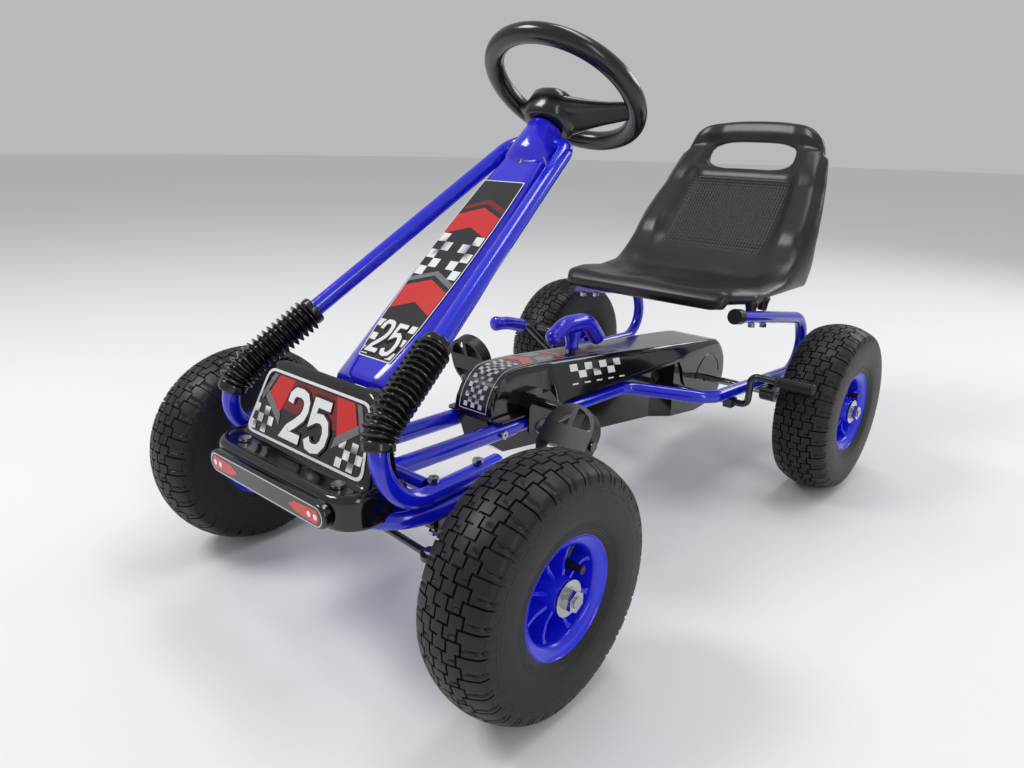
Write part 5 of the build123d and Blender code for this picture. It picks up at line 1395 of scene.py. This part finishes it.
class KART_OT_seat(bpy.types.Operator):
    """Makes the blow-moulded seat with its rolled rim and handle opening"""
    bl_idname = "kart.seat"
    bl_label = "Seat"

    def execute(self, context):
        rim = context.scene.kart_sizes.seat_rim / MM
        path = rounded_path([(0, y, z) for y, z in SEAT_SIDE], [9, 40, 60, 60, 80, 60], 3.0)
        path, spots = even_path(path, 6.2)
        columns = np.concatenate([np.linspace(-1, -0.9, 4)[:-1], np.linspace(-0.9, 0.9, 45),
                                  np.linspace(0.9, 1, 4)[1:]])
        rows, across = len(path), len(columns)
        middle_row = min(range(rows), key=lambda row: abs(path[row].z - HANDLE_HEIGHT))
        top, low, flat = [], [], []
        for row in range(rows):
            way = way_along(path, row)
            normal = Vector((0, -way.z, way.y))
            y, z = path[row].y, path[row].z
            for share in columns:
                x = seat_half(y) * share
                flat.append((x, spots[row] - spots[middle_row]))
                height = seat_height(y, z, share)
                pull = 2.5 * smoothstep(abs(share), 0.93, 1.0)
                sink = 46.0 * smoothstep(spots[row], spots[-1] - 72.0, spots[-1])
                spot = behind(x, y, z) - way * (sink * corner_drop(abs(share)))
                top.append(spot + normal * (height - pull))
                under = spot + normal * (height + pull - seat_thickness(y, z, share, rim))
                bend = math.exp(-((spots[row] - BEND_PLACE) / 62.0) ** 2)
                under -= normal * (52.0 * bend * smoothstep(abs(share), 0.76, 0.95))
                under.z = max(under.z, min(spot.z - 4.0, 294.0)) if bend > 0.02 else under.z
                low.append(under)

        cells = set()
        for row in range(rows - 1):
            for column in range(across - 1):
                corners = [row * across + column, row * across + column + 1,
                           (row + 1) * across + column + 1, (row + 1) * across + column]
                centre = [sum(flat[corner][axis] for corner in corners) / 4 for axis in (0, 1)]
                if handle_reach(*centre) >= 1.0:
                    cells.add(tuple(corners))
        edges = {}
        for cell in cells:
            for one, two in zip(cell, cell[1:] + cell[:1]):
                edges.setdefault(frozenset((one, two)), []).append((one, two))
        borders = [pairs[0] for pairs in edges.values() if len(pairs) == 1]
        hole = {index for pair in borders for index in pair
                if abs(flat[index][0]) < 90 and abs(flat[index][1]) < 45}
        for index in hole:
            x, along = flat[index]
            row = index // across
            shift = 1.0 / handle_reach(x, along)
            new_x = x * shift
            spot = spots[middle_row] + along * shift
            centre = [between(spot, spots, [p[axis] for p in path]) for axis in range(3)]
            for sheet in (top, low):
                off = sheet[index] - behind(x, path[row].y, path[row].z)
                sheet[index] = behind(new_x, centre[1], centre[2]) + off
        count = rows * across
        points = top + low
        faces = list(cells) + [tuple(index + count for index in reversed(cell)) for cell in cells]
        mids = {}
        for pair in borders:
            for index in pair:
                if index in mids:
                    continue
                centre = (top[index] + low[index]) / 2
                row, column = divmod(index, across)
                if index in hole:
                    inner = path[middle_row]
                    out = (behind(0, inner.y, inner.z) - centre).normalized() * 2.4
                else:
                    way = way_along(path, row)
                    out = Vector((0, 0, 0))
                    if column in (0, across - 1):
                        out += Vector((1 if column else -1, 0, 0))
                    if row == 0:
                        out -= way
                    if row == rows - 1:
                        out += way
                    out = out.normalized() * 3.6
                mids[index] = len(points)
                points.append(centre + out)
        for one, two in borders:
            faces.append((two, one, mids[one], mids[two]))
            faces.append((mids[two], mids[one], one + count, two + count))
        seat = Shell()
        seat.add(points, faces, "seat_plastic")
        for side in SIDES.values():
            for y in (-92.0, -52.0):
                posts = []
                for z, reach in SEAT_POST:
                    posts.append([behind(side * 155.0 + reach * math.cos(t), y + reach * math.sin(t), z)
                                  for t in turns(20)])
                seat.loft(posts, "seat_plastic")
        made = seat.finish("seat_moulding", "chassis", ["seat"], "satin_black", 0)
        smooth = made.modifiers.new("smooth", "SUBSURF")
        smooth.levels = smooth.render_levels = 1
        return {"FINISHED"}


# ---------------------------------------------------------------- CAD nodes that stay
# Width of the rounded edges in millimetres, then the nodes.
FINISHED_NODES = {
    "frame_paint": (0.0, ["front_tube_left", "front_tube_right", "bumper_loop", "front_rails",
                          "rear_tube_left", "rear_tube_right"]),
    "black_paint": (0.5, ["kingpin_brackets", "column_seats", "axle_housings", "brake_clamps",
                          "shift_lever", "brake_rod", "steering_column", "crank", "tie_rod_left",
                          "tie_rod_right"]),
    "zinc": (0.35, ["kingpin_bolts", "bolts", "knuckle_left", "knuckle_right", "rear_axle"]),
    "washer_zinc": (0.35, ["front_hub_nuts_left", "front_hub_nuts_right", "rear_hub_nuts"]),
    "chain_steel": (0.0, ["chain", "crank_sprocket", "rear_sprocket", "wheel_bearings_left",
                          "wheel_bearings_right"]),
    "nylon": (0.0, ["bushes"]),
    "gloss_black": (1.6, ["crank_brackets"]),
    "case_black": (0.8, ["case_bottom"]),
    "satin_black": (0.8, ["rail_caps"]),
    "pedal_black": (1.4, ["pedal_left", "pedal_right"]),
    "sleeve_rubber": (0.0, ["front_inner_tube_left", "front_inner_tube_right",
                            "rear_inner_tubes"]),
}


class KART_OT_frame(bpy.types.Operator):
    """Gives the CAD nodes that stay in view their finishes and rounded edges"""
    bl_idname = "kart.frame"
    bl_label = "Frame and running gear"

    def execute(self, context):
        for finish, (radius, names) in FINISHED_NODES.items():
            material = Finishes.get("gloss_black" if finish == "case_black" else finish)
            for name in names:
                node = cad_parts[name]
                for holder in node.material_slots:
                    holder.material = material
                if radius:
                    round_edges(node, radius)
        return {"FINISHED"}


# ---------------------------------------------------------------- stage
def soft_light(name, place, target, size, watts):
    """A square or oblong lamp that faces its target."""
    lamp = bpy.data.lights.new(name, "AREA")
    lamp.shape = "RECTANGLE"
    lamp.size, lamp.size_y = size
    lamp.energy = watts
    made = placed(name, lamp)
    made.location = place
    made.rotation_euler = (Vector(target) - Vector(place)).to_track_quat("-Z", "Y").to_euler()


class KART_OT_stage(bpy.types.Operator):
    """Makes the floor, the soft lights and the camera"""
    bl_idname = "kart.stage"
    bl_label = "Stage"

    def execute(self, context):
        scene = context.scene
        floor = Finish("floor_paper")
        tone = scene.kart_colours.floor
        cloud = floor.noise(2.0, 3.0)
        floor.surface(Base_Color=floor.mix(cloud, shade(tone, 0.985), shade(tone, 1.0)),
                      Roughness=0.62 + floor.noise(300.0, 2.0) * 0.1)
        rings = (0.02, 2.0, 6.0, 14.0)
        points, faces, sides = [], [], 64
        for reach in rings:
            points += [(reach * math.cos(t), reach * math.sin(t), 0.0) for t in turns(sides)]
        for ring in range(len(rings) - 1):
            for step in range(sides):
                one, two = ring * sides + step, ring * sides + (step + 1) % sides
                faces.append((one, one + sides, two + sides, two))
        faces.append(tuple(range(sides)))
        mesh = bpy.data.meshes.new("floor")
        mesh.from_pydata(points, [], faces)
        mesh.materials.append(floor.material)
        placed("floor", mesh)

        world = bpy.data.worlds.new("studio")
        world.use_nodes = True
        back = world.node_tree.nodes["Background"]
        back.inputs["Color"].default_value = (0.95, 0.97, 1.0, 1.0)
        back.inputs["Strength"].default_value = 0.5
        scene.world = world
        scene.view_settings.view_transform = "Standard"
        soft_light("key", (-1.3, -1.5, 2.4), (0, 0, 0.3), (0.9, 0.9), 36.0)
        soft_light("fill", (2.4, -1.3, 1.5), (0, 0, 0.3), (0.5, 1.8), 12.0)
        soft_light("top", (0.2, 0.5, 2.6), (0, 0, 0.2), (1.6, 0.5), 15.0)
        soft_light("rim", (0.8, 2.4, 1.5), (0, 0, 0.4), (2.0, 0.6), 17.0)

        lens = bpy.data.cameras.new("view")
        lens.lens = 27.38
        lens.sensor_width = 36.0
        lens.clip_end = 60.0
        eye = Vector((648.68, -885.61, 535.27)) * MM
        target = Vector((-74.72, -62.77, 175.47)) * MM
        way = (target - eye).normalized()
        across = way.cross(Vector((0, 0, 1))).normalized()
        up = across.cross(way)
        roll = 0.0206
        right = across * math.cos(roll) + up * math.sin(roll)
        top = up * math.cos(roll) - across * math.sin(roll)
        camera = placed("view", lens)
        camera.matrix_world = Matrix((
            (right.x, top.x, -way.x, eye.x), (right.y, top.y, -way.y, eye.y),
            (right.z, top.z, -way.z, eye.z), (0, 0, 0, 1)))
        scene.camera = camera
        return {"FINISHED"}


# ---------------------------------------------------------------- panel and main
OPERATORS = (KART_OT_stage, KART_OT_frame, KART_OT_wheels, KART_OT_bellows, KART_OT_nose, KART_OT_cover,
             KART_OT_case, KART_OT_steering, KART_OT_grips, KART_OT_seat)


class KART_PT_parts(bpy.types.Panel):
    """Lists the pieces that can be made and the sizes and colours they take"""
    bl_idname = "KART_PT_parts"
    bl_label = "Pedal go kart"
    bl_space_type = "VIEW_3D"
    bl_region_type = "UI"
    bl_category = "Kart"

    def draw(self, context):
        for group in (context.scene.kart_sizes, context.scene.kart_colours):
            for name in group.bl_rna.properties.keys():
                if name not in ("rna_type", "name"):
                    self.layout.prop(group, name)
        for operator in OPERATORS:
            self.layout.operator(operator.bl_idname)


CLASSES = (KartSizes, KartColours, *OPERATORS, KART_PT_parts)


def register():
    for item in CLASSES:
        bpy.utils.register_class(item)
    bpy.types.Scene.kart_sizes = bpy.props.PointerProperty(type=KartSizes)
    bpy.types.Scene.kart_colours = bpy.props.PointerProperty(type=KartColours)


def unregister():
    del bpy.types.Scene.kart_sizes
    del bpy.types.Scene.kart_colours
    for item in reversed(CLASSES):
        bpy.utils.unregister_class(item)


def main():
    register()
    for operator in OPERATORS:
        group, name = operator.bl_idname.split(".")
        getattr(getattr(bpy.ops, group), name)()


if __name__ == "__main__":
    main()
